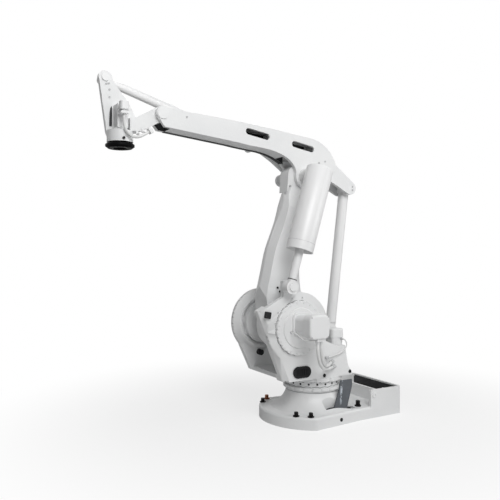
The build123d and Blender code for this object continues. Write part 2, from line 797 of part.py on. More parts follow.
# Upper arm: one curved casting, forked at the elbow, hollow between and forked at the wrist
tail_local = (tail_reach * cos(radians(tail_turn)), tail_reach * sin(radians(tail_turn)))
elbow_hub_radius = 92.0
tail_radius = 57.0
wrist_ear_radius = 50.0
slot_height = 44.0
slot_one = ((630.0, 154.0), (467.0, 177.0))
slot_two = ((179.0, 225.0), (26.0, 245.0))


def arm_outline():
    """Side outline of the upper arm, from the wrist back over the top to the tail."""
    l1 = Line((upper_length, wrist_ear_radius), (1157, 90))
    l2 = Spline(l1 @ 1, (734, 194), (362, 273), (60, 330))
    l3 = Spline(l2 @ 1, (-46, 340), (-169, 307), (-280, 214))
    l4 = Line(l3 @ 1, (tail_local[0] - 18, tail_local[1] + 54))
    l5 = Line(l4 @ 1, (tail_local[0] + 8, tail_local[1] - 56))
    l6 = Line(l5 @ 1, (-300, 52))
    l7 = Spline(l6 @ 1, (-180, 40), (-elbow_hub_radius, -10))
    l8 = ThreePointArc(l7 @ 1, (0, -elbow_hub_radius), (elbow_hub_radius, 0))
    l9 = Spline(l8 @ 1, (150, 62), (254, 92), (483, 72), (685, 33))
    l10 = Line(l9 @ 1, (1306, -92))
    l11 = Line(l10 @ 1, (upper_length + 22, 6 - wrist_ear_radius))
    Line(l11 @ 1, (upper_length, wrist_ear_radius))


with BuildPart() as upper_arm:
    with BuildSketch(side(elbow, plate_outer, upper_rise)):
        with BuildLine():
            arm_outline()
        make_face()
        with Locations(tail_local):
            Circle(tail_radius)
        with Locations((upper_length, 0)):
            Circle(wrist_ear_radius)
    extrude(amount=2 * plate_outer)
    with BuildSketch(side(elbow, plate_outer - arm_wall, upper_rise)):
        with BuildLine():
            Polyline(
                (250, 90 + arm_wall), (483, 72 + arm_wall), (685, 33 + arm_wall),
                (1180, -66 + arm_wall), (1180, 84 - arm_wall), (734, 194 - arm_wall),
                (362, 273 - arm_wall), (60, 330 - arm_wall), (-46, 338 - arm_wall),
                (-60, 250), (60, 130), close=True,
            )
        make_face()
    extrude(amount=2 * (plate_outer - arm_wall), mode=Mode.SUBTRACT)
    with BuildSketch(side(elbow, plate_inner, upper_rise)):
        with BuildLine():
            Polyline(
                (240, -200), (240, 100), (130, 170), (-60, 250), (-169, 270), (-250, 205),
                (tail_local[0] + 40, tail_local[1] + 62), (tail_local[0] - 200, tail_local[1] + 62),
                (tail_local[0] - 200, -200), close=True,
            )
        make_face()
    extrude(amount=2 * plate_inner, mode=Mode.SUBTRACT)
    with BuildSketch(side(elbow, plate_inner, upper_rise)):
        with Locations((upper_length + 60, 0)):
            Rectangle(320, 400)
    extrude(amount=2 * plate_inner, mode=Mode.SUBTRACT)
    for first, last in (slot_one, slot_two):
        with BuildSketch(side(elbow, plate_outer, upper_rise)):
            with Locations(((first[0] + last[0]) / 2, (first[1] + last[1]) / 2)):
                SlotCenterToCenter(
                    hypot(first[0] - last[0], first[1] - last[1]), slot_height,
                    rotation=degrees(atan2(first[1] - last[1], first[0] - last[0])),
                )
        extrude(amount=arm_wall + 1, mode=Mode.SUBTRACT)
    barrel(elbow, plate_outer, -plate_outer, elbow_shaft_radius + bore_gap, mode=Mode.SUBTRACT)
    barrel(wrist, plate_outer, -plate_outer, wrist_shaft_radius, mode=Mode.SUBTRACT)
    barrel(tail, plate_outer, -plate_outer, tail_pin_radius, mode=Mode.SUBTRACT)
upper_arm.part.label = "upper_arm"
export_step(upper_arm.part, "parts/upper_arm.step")

# Shafts and covers carried by the upper arm
with BuildPart() as tail_pin:
    barrel(tail, plate_outer, -plate_outer, tail_pin_radius)
    barrel(tail, plate_inner, rod_half + turn_gap, tail_pin_radius + 12)
    barrel(tail, -rod_half - turn_gap, -plate_inner, tail_pin_radius + 12)
tail_pin.part.label = "tail_pin"
export_step(tail_pin.part, "parts/tail_pin.step")

with BuildPart() as wrist_shaft:
    barrel(wrist, plate_outer, -plate_outer, wrist_shaft_radius)
wrist_shaft.part.label = "wrist_shaft"
export_step(wrist_shaft.part, "parts/wrist_shaft.step")

with BuildPart() as wrist_caps:
    barrel(wrist, plate_outer + 8, plate_outer, 44)
    barrel(wrist, -plate_outer, -plate_outer - 6, 44)
wrist_caps.part.label = "wrist_caps"
export_step(wrist_caps.part, "parts/wrist_caps.step")

# Parallel crank: driven by the far gear unit, it moves the upper arm through the long rod
crank_hub_radius = 124.0
crank_tip_radius = 52.0
crank_turn = upper_rise + tail_turn
with BuildPart() as parallel_crank:
    with BuildSketch(side(shoulder, -hub_half - turn_gap, crank_turn)):
        with BuildLine():
            Polyline((0, crank_hub_radius - 6), (tail_reach, crank_tip_radius),
                     (tail_reach, -crank_tip_radius), (0, 6 - crank_hub_radius), close=True)
        make_face()
        Circle(crank_hub_radius)
        with Locations((tail_reach, 0)):
            Circle(crank_tip_radius)
    extrude(amount=crank_outer - hub_half - turn_gap)
    barrel(crank_pin_place, -rod_half - turn_gap, -hub_half - 10, tail_pin_radius + 16)
    with BuildSketch(side(at(shoulder, tail_reach * 0.56, crank_turn), -crank_outer + 16, crank_turn)):
        Trapezoid(170, 110, 84, rotation=-90)
    extrude(amount=16, mode=Mode.SUBTRACT)
    barrel(crank_pin_place, 0, -crank_outer, tail_pin_radius + bore_gap, mode=Mode.SUBTRACT)
parallel_crank.part.label = "parallel_crank"
export_step(parallel_crank.part, "parts/parallel_crank.step")

with BuildPart() as crank_shaft:
    barrel(shoulder, -crank_outer, -elbow_far_end + turn_gap, hub_shaft_radius)
crank_shaft.part.label = "crank_shaft"
export_step(crank_shaft.part, "parts/crank_shaft.step")

with BuildPart() as crank_pin:
    barrel(crank_pin_place, rod_half + 10, -crank_outer, tail_pin_radius)
    barrel(crank_pin_place, rod_half + 10, rod_half + turn_gap, tail_pin_radius + 12)
crank_pin.part.label = "crank_pin"
export_step(crank_pin.part, "parts/crank_pin.step")

# Long rod from the crank to the upper arm's tail
with BuildPart() as parallel_rod:
    rod_plane = Plane(
        origin=(crank_pin_place[0], 0, crank_pin_place[1]),
        z_dir=(tail[0] - crank_pin_place[0], 0, tail[1] - crank_pin_place[1]),
    )
    with BuildSketch(rod_plane.offset(rod_eye_radius * 0.5)):
        Circle(rod_radius)
    extrude(amount=lower_length - rod_eye_radius)
    for pivot in (crank_pin_place, tail):
        barrel(pivot, 2 * rod_radius, -2 * rod_radius, rod_eye_radius + 14, mode=Mode.SUBTRACT)
    for pivot, turn in ((crank_pin_place, 1), (tail, -1)):
        barrel(pivot, rod_half, -rod_half, rod_eye_radius - 6)
    with BuildSketch(side(crank_pin_place, rod_half, lower_lean)):
        with Locations((0, 60), (0, lower_length - 60)):
            Rectangle(70, 120)
    extrude(amount=2 * rod_half)
    barrel(crank_pin_place, rod_half, -rod_half, tail_pin_radius + bore_gap, mode=Mode.SUBTRACT)
    barrel(tail, rod_half, -rod_half, tail_pin_radius + bore_gap, mode=Mode.SUBTRACT)
parallel_rod.part.label = "parallel_rod"
export_step(parallel_rod.part, "parts/parallel_rod.step")

# Balancer: cylinder hung from the elbow shaft, rod standing on the frame's near wall
cylinder_dir = (balance_point[0] - elbow[0], 0, balance_point[1] - elbow[1])
cylinder_plane = Plane(origin=(elbow[0], balance_plane, elbow[1]), z_dir=cylinder_dir)
with BuildPart() as balance_cylinder:
    with BuildSketch(cylinder_plane.offset(-cylinder_above)):
        Circle(cylinder_radius)
    extrude(amount=cylinder_above + cylinder_below)
    fillet(balance_cylinder.edges().sort_by(Axis.Z)[-1], 14)
    barrel(elbow, balance_plane, trunnion_inner, 60)
    with BuildSketch(cylinder_plane.offset(cylinder_cap - cylinder_above)):
        Circle(cylinder_bore)
    extrude(amount=cylinder_below, mode=Mode.SUBTRACT)
    barrel(elbow, trunnion_bore_end, 0, elbow_shaft_radius + bore_gap, mode=Mode.SUBTRACT)
balance_cylinder.part.label = "balance_cylinder"
export_step(balance_cylinder.part, "parts/balance_cylinder.step")

rod_base = Plane(origin=(balance_point[0], balance_plane, balance_point[1]),
                 z_dir=(-cylinder_dir[0], 0, -cylinder_dir[2]))
with BuildPart() as balance_rod:
    with BuildSketch(rod_base.offset(balance_eye_radius - 10)):
        Circle(balance_rod_radius)
    extrude(amount=balance_rod_length - balance_eye_radius + 10)
    with BuildSketch(rod_base.offset(balance_eye_radius + 4)):
        Circle(balance_rod_radius + 1)
        Circle(balance_rod_radius - 5, mode=Mode.SUBTRACT)
    extrude(amount=7, mode=Mode.SUBTRACT)
    barrel(balance_point, balance_plane + balance_eye_half, balance_plane - balance_eye_half,
           balance_eye_radius)
    barrel(balance_point, balance_plane + 60, balance_plane - 60, balance_pin_radius + bore_gap,
           mode=Mode.SUBTRACT)
balance_rod.part.label = "balance_rod"
export_step(balance_rod.part, "parts/balance_rod.step")

# Tilt housing: nose to the wrist shaft, far-side plate up to the link, round gear house
flange_top = flange_face + flange_thickness
house_top = flange_top + gear_house_height
house_plate = (55.0, 97.0)
nose_radius = 54.0
with BuildPart() as tilt_house:
    with BuildSketch(Plane.XY.offset(flange_top + turn_gap)):
        with Locations((tool_x, 0)):
            Circle(gear_house_radius)
    extrude(amount=house_top - flange_top - turn_gap)
    with BuildSketch(side((0, 0), head_half)):
        with BuildLine():
            Polyline(
                at(wrist, nose_radius + 3, 60),
                (tool_x - 90, house_top + 95),
                (tool_x - 58, house_top + 95),
                (tool_x - 58, house_top),
                (tool_x + 40, house_top),
                (tool_x + 40, flange_top + 22),
                (tool_x - 60, flange_top + 22),
                (tool_x - 60, house_top - 3),
                (tool_x - 141, house_top + 5),
                (tool_x - 207, house_top + 38),
                at(wrist, nose_radius - 6, 242),
                close=True,
            )
        make_face()
        with Locations(wrist):
            Circle(nose_radius)
    extrude(amount=2 * head_half)
    with BuildSketch(side((0, 0), -house_plate[0])):
        with BuildLine():
            Polyline(
                at(tilt_pivot, 50, 10), (tool_x + 84, house_top), (tool_x + 60, flange_top + 20),
                (tool_x - 110, flange_top + 40), (tool_x - 140, house_top + 126),
                (tool_x - 86, house_top + 228), (tilt_pivot[0] - 54, tilt_pivot[1] - 16),
                at(tilt_pivot, 50, 150), close=True,
            )
        make_face()
        with Locations(tilt_pivot):
            Circle(50)
    extrude(amount=house_plate[1] - house_plate[0])
    barrel(wrist, head_half, -head_half, wrist_shaft_radius + bore_gap, mode=Mode.SUBTRACT)
    barrel(tilt_pivot, -house_plate[0], -house_plate[1], link_pin_radius, mode=Mode.SUBTRACT)
tilt_house.part.label = "tilt_house"
export_step(tilt_house.part, "parts/tilt_house.step")

with BuildPart() as tilt_pin:
    barrel(tilt_pivot, -house_plate[0] + 8, -rod_layer_outer - 8, link_pin_radius)
    barrel(tilt_pivot, -house_plate[0] + 8, -house_plate[0], link_pin_radius + 10)
    barrel(tilt_pivot, -house_plate[1], -rod_layer_inner + turn_gap, link_pin_radius + 10)
    barrel(tilt_pivot, -rod_layer_outer - turn_gap, -rod_layer_outer - 8, link_pin_radius + 10)
tilt_pin.part.label = "tilt_pin"
export_step(tilt_pin.part, "parts/tilt_pin.step")

# Tool turning drive above the gear house
motor_foot = Plane((tool_x, 0, house_top))
with BuildPart() as tool_motor:
    with BuildSketch(motor_foot):
        Circle(wrist_motor_radius - 8)
    extrude(amount=20)
    with BuildSketch(motor_foot.offset(20)):
        RectangleRounded(2 * wrist_motor_radius - 18, 2 * wrist_motor_radius - 18, 20)
    extrude(amount=wrist_motor_height - 20)
tool_motor.part.label = "tool_motor"
export_step(tool_motor.part, "parts/tool_motor.step")

# Tool flange: turning disc with a centring bore and a circle of screw holes
with BuildPart() as tool_flange:
    with BuildSketch(Plane.XY.offset(flange_face)):
        with Locations((tool_x, 0)):
            Circle(flange_radius)
    extrude(amount=flange_thickness)
    chamfer(tool_flange.edges().group_by(Axis.Z)[0], 3)
    with BuildSketch(Plane.XY.offset(flange_face)):
        with Locations((tool_x, 0)):
            Circle(pilot_radius)
    extrude(amount=10, mode=Mode.SUBTRACT)
    with BuildSketch(Plane.XY.offset(flange_face)):
        with Locations((tool_x, 0)):
            with PolarLocations(tool_bolt_circle, tool_bolt_count):
                Circle(tool_bolt_radius)
    extrude(amount=20, mode=Mode.SUBTRACT)
tool_flange.part.label = "tool_flange"
export_step(tool_flange.part, "parts/tool_flange.step")

# Terminal boxes under the two shoulder motors' caps, with a gland for each conduit
cap_bottom = motor_z - motor_cap / 2
far_shift = far_wall_outer - near_wall_outer


def terminal_box(route_ends):
    """Flat box under a motor's cap and the glands of its conduits."""
    middle = sum(place[0] for place in route_ends) / 2
    y = route_ends[0][1]
    with BuildSketch(Plane((middle, y, cap_bottom))) as box_plan:
        RectangleRounded(2 * (312 - middle), 60, 6)
    extrude(box_plan.sketch, amount=-18)
    with BuildSketch(Plane((0, 0, route_ends[0][2]))) as gland_plan:
        with Locations(*((place[0], place[1]) for place in route_ends)):
            Circle(conduit_radius + 4)
    extrude(gland_plan.sketch, amount=cap_bottom - 18 - route_ends[0][2])


def mirrored(route):
    """The same route on the robot's far side, where the wall stands further out."""
    return tuple((x, -y - far_shift, z) for x, y, z in route)


with BuildPart() as terminal_box_near:
    terminal_box((conduit_front_route[0], conduit_rear_route[0]))
terminal_box_near.part.label = "terminal_box_near"
export_step(terminal_box_near.part, "parts/terminal_box_near.step")

with BuildPart() as terminal_box_far:
    terminal_box((mirrored(conduit_front_route)[0], mirrored(conduit_rear_route)[0]))
terminal_box_far.part.label = "terminal_box_far"
export_step(terminal_box_far.part, "parts/terminal_box_far.step")

# Conduits from the terminal boxes down into the frame's walls
with BuildPart() as conduit_front:
    tube("conduit_front", conduit_front_route, conduit_radius)
conduit_front.part.label = "conduit_front"
export_step(conduit_front.part, "parts/conduit_front.step")

with BuildPart() as conduit_rear:
    tube("conduit_rear", conduit_rear_route, conduit_radius)
conduit_rear.part.label = "conduit_rear"
export_step(conduit_rear.part, "parts/conduit_rear.step")

with BuildPart() as far_conduit_front:
    tube("far_conduit_front", mirrored(conduit_front_route), conduit_radius)
far_conduit_front.part.label = "far_conduit_front"
export_step(far_conduit_front.part, "parts/far_conduit_front.step")

with BuildPart() as far_conduit_rear:
    tube("far_conduit_rear", mirrored(conduit_rear_route), conduit_radius)
far_conduit_rear.part.label = "far_conduit_rear"
export_step(far_conduit_rear.part, "parts/far_conduit_rear.step")

# Thin leads: the shoulder motor's and the slewing motor's
with BuildPart() as motor_lead:
    tube("motor_lead", motor_lead_route, lead_radius)
motor_lead.part.label = "motor_lead"
export_step(motor_lead.part, "parts/motor_lead.step")

with BuildPart() as slew_lead:
    tube("slew_lead", slew_lead_route, lead_radius)
slew_lead.part.label = "slew_lead"
export_step(slew_lead.part, "parts/slew_lead.step")

# Glands on the walls, the cover and the slewing motor, where the tubes go in
with BuildPart() as cable_glands:
    for route in (conduit_front_route, conduit_rear_route):
        with BuildSketch(end_plane(route)):
            Circle(conduit_radius + 5)
        extrude(amount=80)
    with BuildSketch(end_plane(slew_lead_route)):
        Rectangle(24, 24)
    extrude(amount=26)
    with BuildSketch(side((0, 0), near_wall_outer)):
        Rectangle(1200, 2400)
    extrude(amount=300, mode=Mode.SUBTRACT)
    motor_gland = (motor_lead_route[0][0], motor_lead_route[0][2])
    barrel(motor_gland, motor_lead_route[0][1], cover_front + 10, lead_radius + 3.5)
    slew_gland = (slew_lead_route[0][0], slew_lead_route[0][2])
    slew_side = slew_motor_y + slew_motor_width / 2 - 6
    barrel(slew_gland, slew_lead_route[0][1], slew_side, lead_radius + 4.5)
cable_glands.part.label = "cable_glands"
export_step(cable_glands.part, "parts/cable_glands.step")

with BuildPart() as far_cable_glands:
    for route in (mirrored(conduit_front_route), mirrored(conduit_rear_route)):
        with BuildSketch(end_plane(route)):
            Circle(conduit_radius + 5)
        extrude(amount=80)
    with BuildSketch(side((0, 0), -far_wall_outer + 300)):
        Rectangle(1200, 2400)
    extrude(amount=300, mode=Mode.SUBTRACT)
far_cable_glands.part.label = "far_cable_glands"
export_step(far_cable_glands.part, "parts/far_cable_glands.step")

# Wrist connector on the tool motor's near side, its hose and the hose's brackets
connector_top = 2529.0
connector_body = hose_route[0][2] + 14
with BuildPart() as wrist_connector:
    with BuildSketch(Plane((hose_route[0][0], hose_route[0][1], connector_body))):
        RectangleRounded(64, 60, 20)
    extrude(amount=connector_top - connector_body)
    fillet(wrist_connector.faces().sort_by(Axis.Z)[-1].edges(), 4)
    motor_side = wrist_motor_radius - 9
    with BuildSketch(Plane((hose_route[0][0], motor_side, connector_body + 15))):
        with Locations((0, (hose_route[0][1] - motor_side) / 2)):
            Rectangle(36, hose_route[0][1] - motor_side)
    extrude(amount=30)
    with BuildSketch(Plane((hose_route[0][0], hose_route[0][1], hose_route[0][2]))):
        Circle(hose_radius + 6)
    extrude(amount=14)
wrist_connector.part.label = "wrist_connector"
export_step(wrist_connector.part, "parts/wrist_connector.step")

with BuildPart() as wrist_hose:
    tube("wrist_hose", hose_route, hose_radius)
wrist_hose.part.label = "wrist_hose"
export_step(wrist_hose.part, "parts/wrist_hose.step")

with BuildPart() as hose_brackets:
    with BuildSketch(end_plane(hose_route)):
        RectangleRounded(44, 36, 4)
    extrude(amount=24)
    with BuildSketch(side((hose_route[-1][0] - 16, hose_route[-1][2] + 10), hose_route[-1][1])):
        Rectangle(24, 24)
    extrude(amount=hose_route[-1][1] - head_half)
    for place in (hose_route[-3], hose_route[-2]):
        clip_top = place[2] + 52
        with BuildSketch(Plane((place[0], head_half, place[2] + hose_radius + 10))):
            with Locations((0, (place[1] - head_half + 8) / 2)):
                Rectangle(18, place[1] - head_half + 8)
        extrude(amount=5)
        with BuildSketch(Plane((place[0], head_half + 3, place[2] + hose_radius + 10))):
            Rectangle(18, 6)
        extrude(amount=clip_top - place[2] - hose_radius - 10)
    with BuildSketch(side((1560, 2300), head_half)):
        Rectangle(600, 600)
    extrude(amount=200, mode=Mode.SUBTRACT)
hose_brackets.part.label = "hose_brackets"
export_step(hose_brackets.part, "parts/hose_brackets.step")
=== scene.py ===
"""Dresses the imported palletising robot: paint, screws, bolts, marks, studio and camera."""

from __future__ import annotations

import logging
import math
from dataclasses import dataclass
from enum import Enum
from typing import Iterable, Sequence

import bmesh
import bpy
from mathutils import Matrix, Vector

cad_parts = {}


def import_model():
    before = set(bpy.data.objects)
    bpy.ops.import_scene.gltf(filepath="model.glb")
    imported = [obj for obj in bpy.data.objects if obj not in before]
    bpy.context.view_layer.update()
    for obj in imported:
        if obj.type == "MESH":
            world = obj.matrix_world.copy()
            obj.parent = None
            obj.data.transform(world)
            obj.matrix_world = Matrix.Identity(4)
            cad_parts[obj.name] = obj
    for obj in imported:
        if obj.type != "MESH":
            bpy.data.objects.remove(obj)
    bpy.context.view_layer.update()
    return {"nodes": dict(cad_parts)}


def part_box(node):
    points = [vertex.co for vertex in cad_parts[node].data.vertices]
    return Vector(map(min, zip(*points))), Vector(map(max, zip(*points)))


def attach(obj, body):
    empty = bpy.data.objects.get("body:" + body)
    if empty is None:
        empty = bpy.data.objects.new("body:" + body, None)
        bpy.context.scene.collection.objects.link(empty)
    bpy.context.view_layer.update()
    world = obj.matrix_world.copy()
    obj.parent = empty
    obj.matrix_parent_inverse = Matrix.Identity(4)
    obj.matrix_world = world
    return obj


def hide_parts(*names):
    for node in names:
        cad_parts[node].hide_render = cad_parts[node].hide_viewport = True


LOG = logging.getLogger("palletiser")
Colour = tuple[float, float, float]
Point = tuple[float, float, float]
Pair = tuple[float, float]
Outline = tuple[Pair, ...]

MIX_FIRST, MIX_SECOND, MIX_RESULT = 6, 7, 2
NODE_WELD, SHAPE_WELD = 1e-6, 1e-7
CARVED_SHARP, PIECE_SHARP = math.radians(28), math.radians(35)
HEAD_RINGS: Outline = ((0.96, 0.0), (1.0, 0.08), (1.0, 0.86), (0.88, 1.0))
SOCKET_RINGS: Outline = ((0.52, 1.0), (0.5, 0.45))
WASHER_DEPTH, WASHER_LIFT = 0.22, 0.2
HEXAGON_SIDES, ROUND_SIDES, WASHER_SIDES = 6, 16, 20


class Channel:
    """A value socket of a shader tree that takes part in ordinary arithmetic."""

    def __init__(self, bench: "ShaderBench", socket: bpy.types.NodeSocket) -> None:
        """Wraps one socket of a bench's tree."""
        self.bench = bench
        self.socket = socket

    def _math(self, operation: str, *terms: "Channel | float") -> "Channel":
        """Adds one Math node.

        Args:
            operation: The node's operation.
            terms: Its inputs, in order.

        Returns:
            The node's value.
        """
        made = self.bench.node(
            "ShaderNodeMath", {"operation": operation}, dict(enumerate(terms))
        )
        return Channel(self.bench, made.outputs[0])

    def __add__(self, other: "Channel | float") -> "Channel":
        """Sum."""
        return self._math("ADD", self, other)

    def __radd__(self, other: float) -> "Channel":
        """Sum with a number first."""
        return self._math("ADD", other, self)

    def __sub__(self, other: "Channel | float") -> "Channel":
        """Difference."""
        return self._math("SUBTRACT", self, other)

    def __rsub__(self, other: float) -> "Channel":
        """Difference from a number."""
        return self._math("SUBTRACT", other, self)

    def __mul__(self, other: "Channel | float") -> "Channel":
        """Product."""
        return self._math("MULTIPLY", self, other)

    def __rmul__(self, other: float) -> "Channel":
        """Product with a number first."""
        return self._math("MULTIPLY", other, self)

    def __pow__(self, other: "Channel | float") -> "Channel":
        """Power."""
        return self._math("POWER", self, other)

    def __abs__(self) -> "Channel":
        """Size without its sign."""
        return self._math("ABSOLUTE", self)

    def ramp(self, low: float, high: float) -> "Channel":
        """Makes a smooth step.

        Args:
            low: Value up to which the step is 0.
            high: Value from which it is 1.

        Returns:
            The stepped value.
        """
        made = self.bench.node(
            "ShaderNodeMapRange",
            {"interpolation_type": "SMOOTHSTEP", "clamp": True},
            {"Value": self, "From Min": low, "From Max": high},
        )
        return Channel(self.bench, made.outputs["Result"])


class ShaderBench:
    """Builds one material's tree, one node at a time."""

    def __init__(self, name: str) -> None:
        """Starts a material with a Principled surface.

        Args:
            name: The material's name.
        """
        self.material = bpy.data.materials.new(name)
        self.material.use_nodes = True
        self.tree = self.material.node_tree
        self.tree.nodes.clear()
        self.output = self.tree.nodes.new("ShaderNodeOutputMaterial")
        self.surface = self.tree.nodes.new("ShaderNodeBsdfPrincipled")
        self.tree.links.new(self.surface.outputs[0], self.output.inputs["Surface"])
        self._place: bpy.types.NodeSocket | None = None

    def node(self, kind: str, settings: dict[str, object], values: dict) -> bpy.types.Node:
        """Adds a node.

        Args:
            kind: The node's type.
            settings: Properties, set before its sockets.
            values: Socket name or index to a number, a colour, a socket or a Channel.

        Returns:
            The new node.
        """
        made = self.tree.nodes.new(kind)
        for key, value in settings.items():
            setattr(made, key, value)
        for key, value in values.items():
            self.feed(made.inputs[key], value)
        return made

    def feed(self, socket: bpy.types.NodeSocket, value: object) -> None:
        """Links or sets one socket.

        Args:
            socket: The socket to feed.
            value: A Channel, a socket, a colour or a number.
        """
        if isinstance(value, Channel):
            value = value.socket
        if isinstance(value, bpy.types.NodeSocket):
            self.tree.links.new(value, socket)
        elif isinstance(value, tuple) and socket.type == "RGBA":
            socket.default_value = (*value[:3], 1.0)
        else:
            socket.default_value = value

    def place(self) -> bpy.types.NodeSocket:
        """Finds the Object coordinate, in metres in the row's frame.

        Returns:
            The coordinate's socket.
        """
        if self._place is None:
            made = self.node("ShaderNodeTexCoord", {}, {})
            self._place = made.outputs["Object"]
        return self._place

    def axis(self, letter: str) -> Channel:
        """One component of the Object coordinate."""
        parts = self.node("ShaderNodeSeparateXYZ", {}, {0: self.place()})
        return Channel(self, parts.outputs[letter])

    def noise(self, scale: float, detail: float, stretch: Point = (1, 1, 1)) -> Channel:
        """Smooth noise over the Object coordinate.

        Args:
            scale: Cells in a metre.
            detail: Octaves.
            stretch: Scale along each axis.

        Returns:
            A value about 0.5.
        """
        where = self.node("ShaderNodeMapping", {}, {"Vector": self.place(), "Scale": stretch})
        made = self.node(
            "ShaderNodeTexNoise",
            {"noise_dimensions": "3D"},
            {"Vector": where.outputs[0], "Scale": scale, "Detail": detail, "Roughness": 0.55},
        )
        return Channel(self, made.outputs["Fac"])

    def blend(self, share: Channel, first: object, second: object) -> bpy.types.NodeSocket:
        """Mixes two colours.

        Args:
            share: How much of the second colour shows.
            first: Colour or socket at a share of 0.
            second: Colour or socket at a share of 1.

        Returns:
            The mixed colour's socket.
        """
        made = self.node("ShaderNodeMix", {"data_type": "RGBA"}, {"Factor": share})
        self.feed(made.inputs[MIX_FIRST], first)
        self.feed(made.inputs[MIX_SECOND], second)
        return made.outputs[MIX_RESULT]

    def bump(self, height: Channel, depth: float) -> None:
        """Feeds the surface's normal from a height.

        Args:
            height: The height's pattern.
            depth: Its size in metres.
        """
        made = self.node(
            "ShaderNodeBump", {}, {"Height": height, "Distance": depth, "Strength": 1.0}
        )
        self.feed(self.surface.inputs["Normal"], made.outputs[0])


@dataclass(frozen=True)
class Paint:
    """Sprayed two-pack paint over a casting, a tube or a machined face."""

    name: str
    colour: Colour
    shade: Colour
    rough: float
    grain: float
    grain_depth: float
    coat: float = 0.12
    coat_rough: float = 0.25
    gloss_swing: float = 0.16
    drift_cells: float = 2.3
    drift_span: Pair = (0.35, 0.7)
    drift_share: float = 0.5
    peel_ratio: float = 4.5
    speck_share: float = 0.8
    peel_share: float = 0.2

    def make(self) -> bpy.types.Material:
        """Makes orange-peel bump, faint uneven gloss and slightly greyer areas.

        Returns:
            The material.
        """
        bench = ShaderBench(self.name)
        drift = bench.noise(self.drift_cells, 2.0).ramp(*self.drift_span)
        speck = bench.noise(self.grain, 3.0)
        peel = bench.noise(self.grain * self.peel_ratio, 2.0)
        surface = bench.surface.inputs
        tone = bench.blend(drift * self.drift_share, self.colour, self.shade)
        bench.feed(surface["Base Color"], tone)
        bench.feed(surface["Roughness"], self.rough + (speck - 0.5) * self.gloss_swing)
        surface["Coat Weight"].default_value = self.coat
        surface["Coat Roughness"].default_value = self.coat_rough
        bench.bump(speck * self.speck_share + peel * self.peel_share, self.grain_depth)
        return bench.material


@dataclass(frozen=True)
class Metal:
    """Bare or blackened steel with turned or drawn lines."""

    name: str
    colour: Colour
    rough: float
    lines: float = 260.0
    stretch: Point = (1.0, 0.05, 1.0)
    line_depth: float = 0.0002
    gloss_swing: float = 0.2
    stain_cells: float = 9.0
    stain_span: Pair = (0.4, 0.75)
    stain_share: float = 0.6
    stain_tone: float = 0.72

    def make(self) -> bpy.types.Material:
        """Makes fine lines along the piece, with stains.

        Returns:
            The material.
        """
        bench = ShaderBench(self.name)
        lines = bench.noise(self.lines, 2.0, self.stretch)
        stain = bench.noise(self.stain_cells, 3.0).ramp(*self.stain_span)
        darker = tuple(c * self.stain_tone for c in self.colour)
        surface = bench.surface.inputs
        tone = bench.blend(stain * self.stain_share, self.colour, darker)
        bench.feed(surface["Base Color"], tone)
        bench.feed(surface["Roughness"], self.rough + (lines - 0.5) * self.gloss_swing)
        surface["Metallic"].default_value = 1.0
        bench.bump(lines, self.line_depth)
        return bench.material


@dataclass(frozen=True)
class Polymer:
    """Moulded plastic or rubber."""

    name: str
    colour: Colour
    rough: float
    grain: float
    grain_depth: float = 0.0003
    gloss_swing: float = 0.12
    specular: float = 0.25
    bloom_cells: float = 14.0
    bloom_span: Pair = (0.45, 0.8)
    bloom_share: float = 0.5
    bloom_ratio: float = 1.6
    bloom_lift: float = 0.01

    def make(self) -> bpy.types.Material:
        """Makes moulded grain with a dusty bloom.

        Returns:
            The material.
        """
        bench = ShaderBench(self.name)
        grain = bench.noise(self.grain, 2.0)
        bloom = bench.noise(self.bloom_cells, 3.0).ramp(*self.bloom_span)
        paler = tuple(min(1.0, c * self.bloom_ratio + self.bloom_lift) for c in self.colour)
        surface = bench.surface.inputs
        surface["Specular IOR Level"].default_value = self.specular
        tone = bench.blend(bloom * self.bloom_share, self.colour, paler)
        bench.feed(surface["Base Color"], tone)
        bench.feed(surface["Roughness"], self.rough + (grain - 0.5) * self.gloss_swing)
        bench.bump(grain, self.grain_depth)
        return bench.material


@dataclass(frozen=True)
class Guard:
    """Slate-coloured moulded sheet, with a pale painted sheen, a highlight, down one side."""

    name: str
    colour: Colour
    sheen_colour: Colour
    rough: float
    sheen_x: float
    sheen_width: float
    sheen_slope: float = 0.32
    slope_height: float = 0.2
    sheen_core: float = 0.3
    sheen_break_cells: float = 34.0
    sheen_break_span: Pair = (0.4, 0.58)
    foot_span: Pair = (0.11, 0.2)
    grain_cells: float = 240.0
    cloud_cells: float = 16.0
    cloud_span: Pair = (0.4, 0.75)
    cloud_tone: float = 1.5
    gloss_swing: float = 0.14
    relief: float = 0.0006

    def make(self) -> bpy.types.Material:
        """Makes cloudy polymer with the painted sheen broken up by noise.

        Returns:
            The material.
        """
        bench = ShaderBench(self.name)
        grain = bench.noise(self.grain_cells, 2.0)
        cloud = bench.noise(self.cloud_cells, 3.0)
        height = bench.axis("Z")
        # The pale band is a painted highlight: a sheen lying along the sheet's bend.
        line = bench.axis("X") + (height - self.slope_height) * self.sheen_slope - self.sheen_x
        near = 1.0 - abs(line).ramp(self.sheen_width * self.sheen_core, self.sheen_width)
        sheen_break = bench.noise(self.sheen_break_cells, 3.0).ramp(*self.sheen_break_span)
        sheen_patch = near * sheen_break * height.ramp(*self.foot_span)
        surface = bench.surface.inputs
        tone = bench.blend(cloud.ramp(*self.cloud_span) * 0.5, self.colour,
                           tuple(c * self.cloud_tone for c in self.colour))
        bench.feed(surface["Base Color"], bench.blend(sheen_patch, tone, self.sheen_colour))
        bench.feed(surface["Roughness"], self.rough + (grain - 0.5) * self.gloss_swing)
        bench.bump(grain * 0.5 + cloud * 0.5, self.relief)
        return bench.material


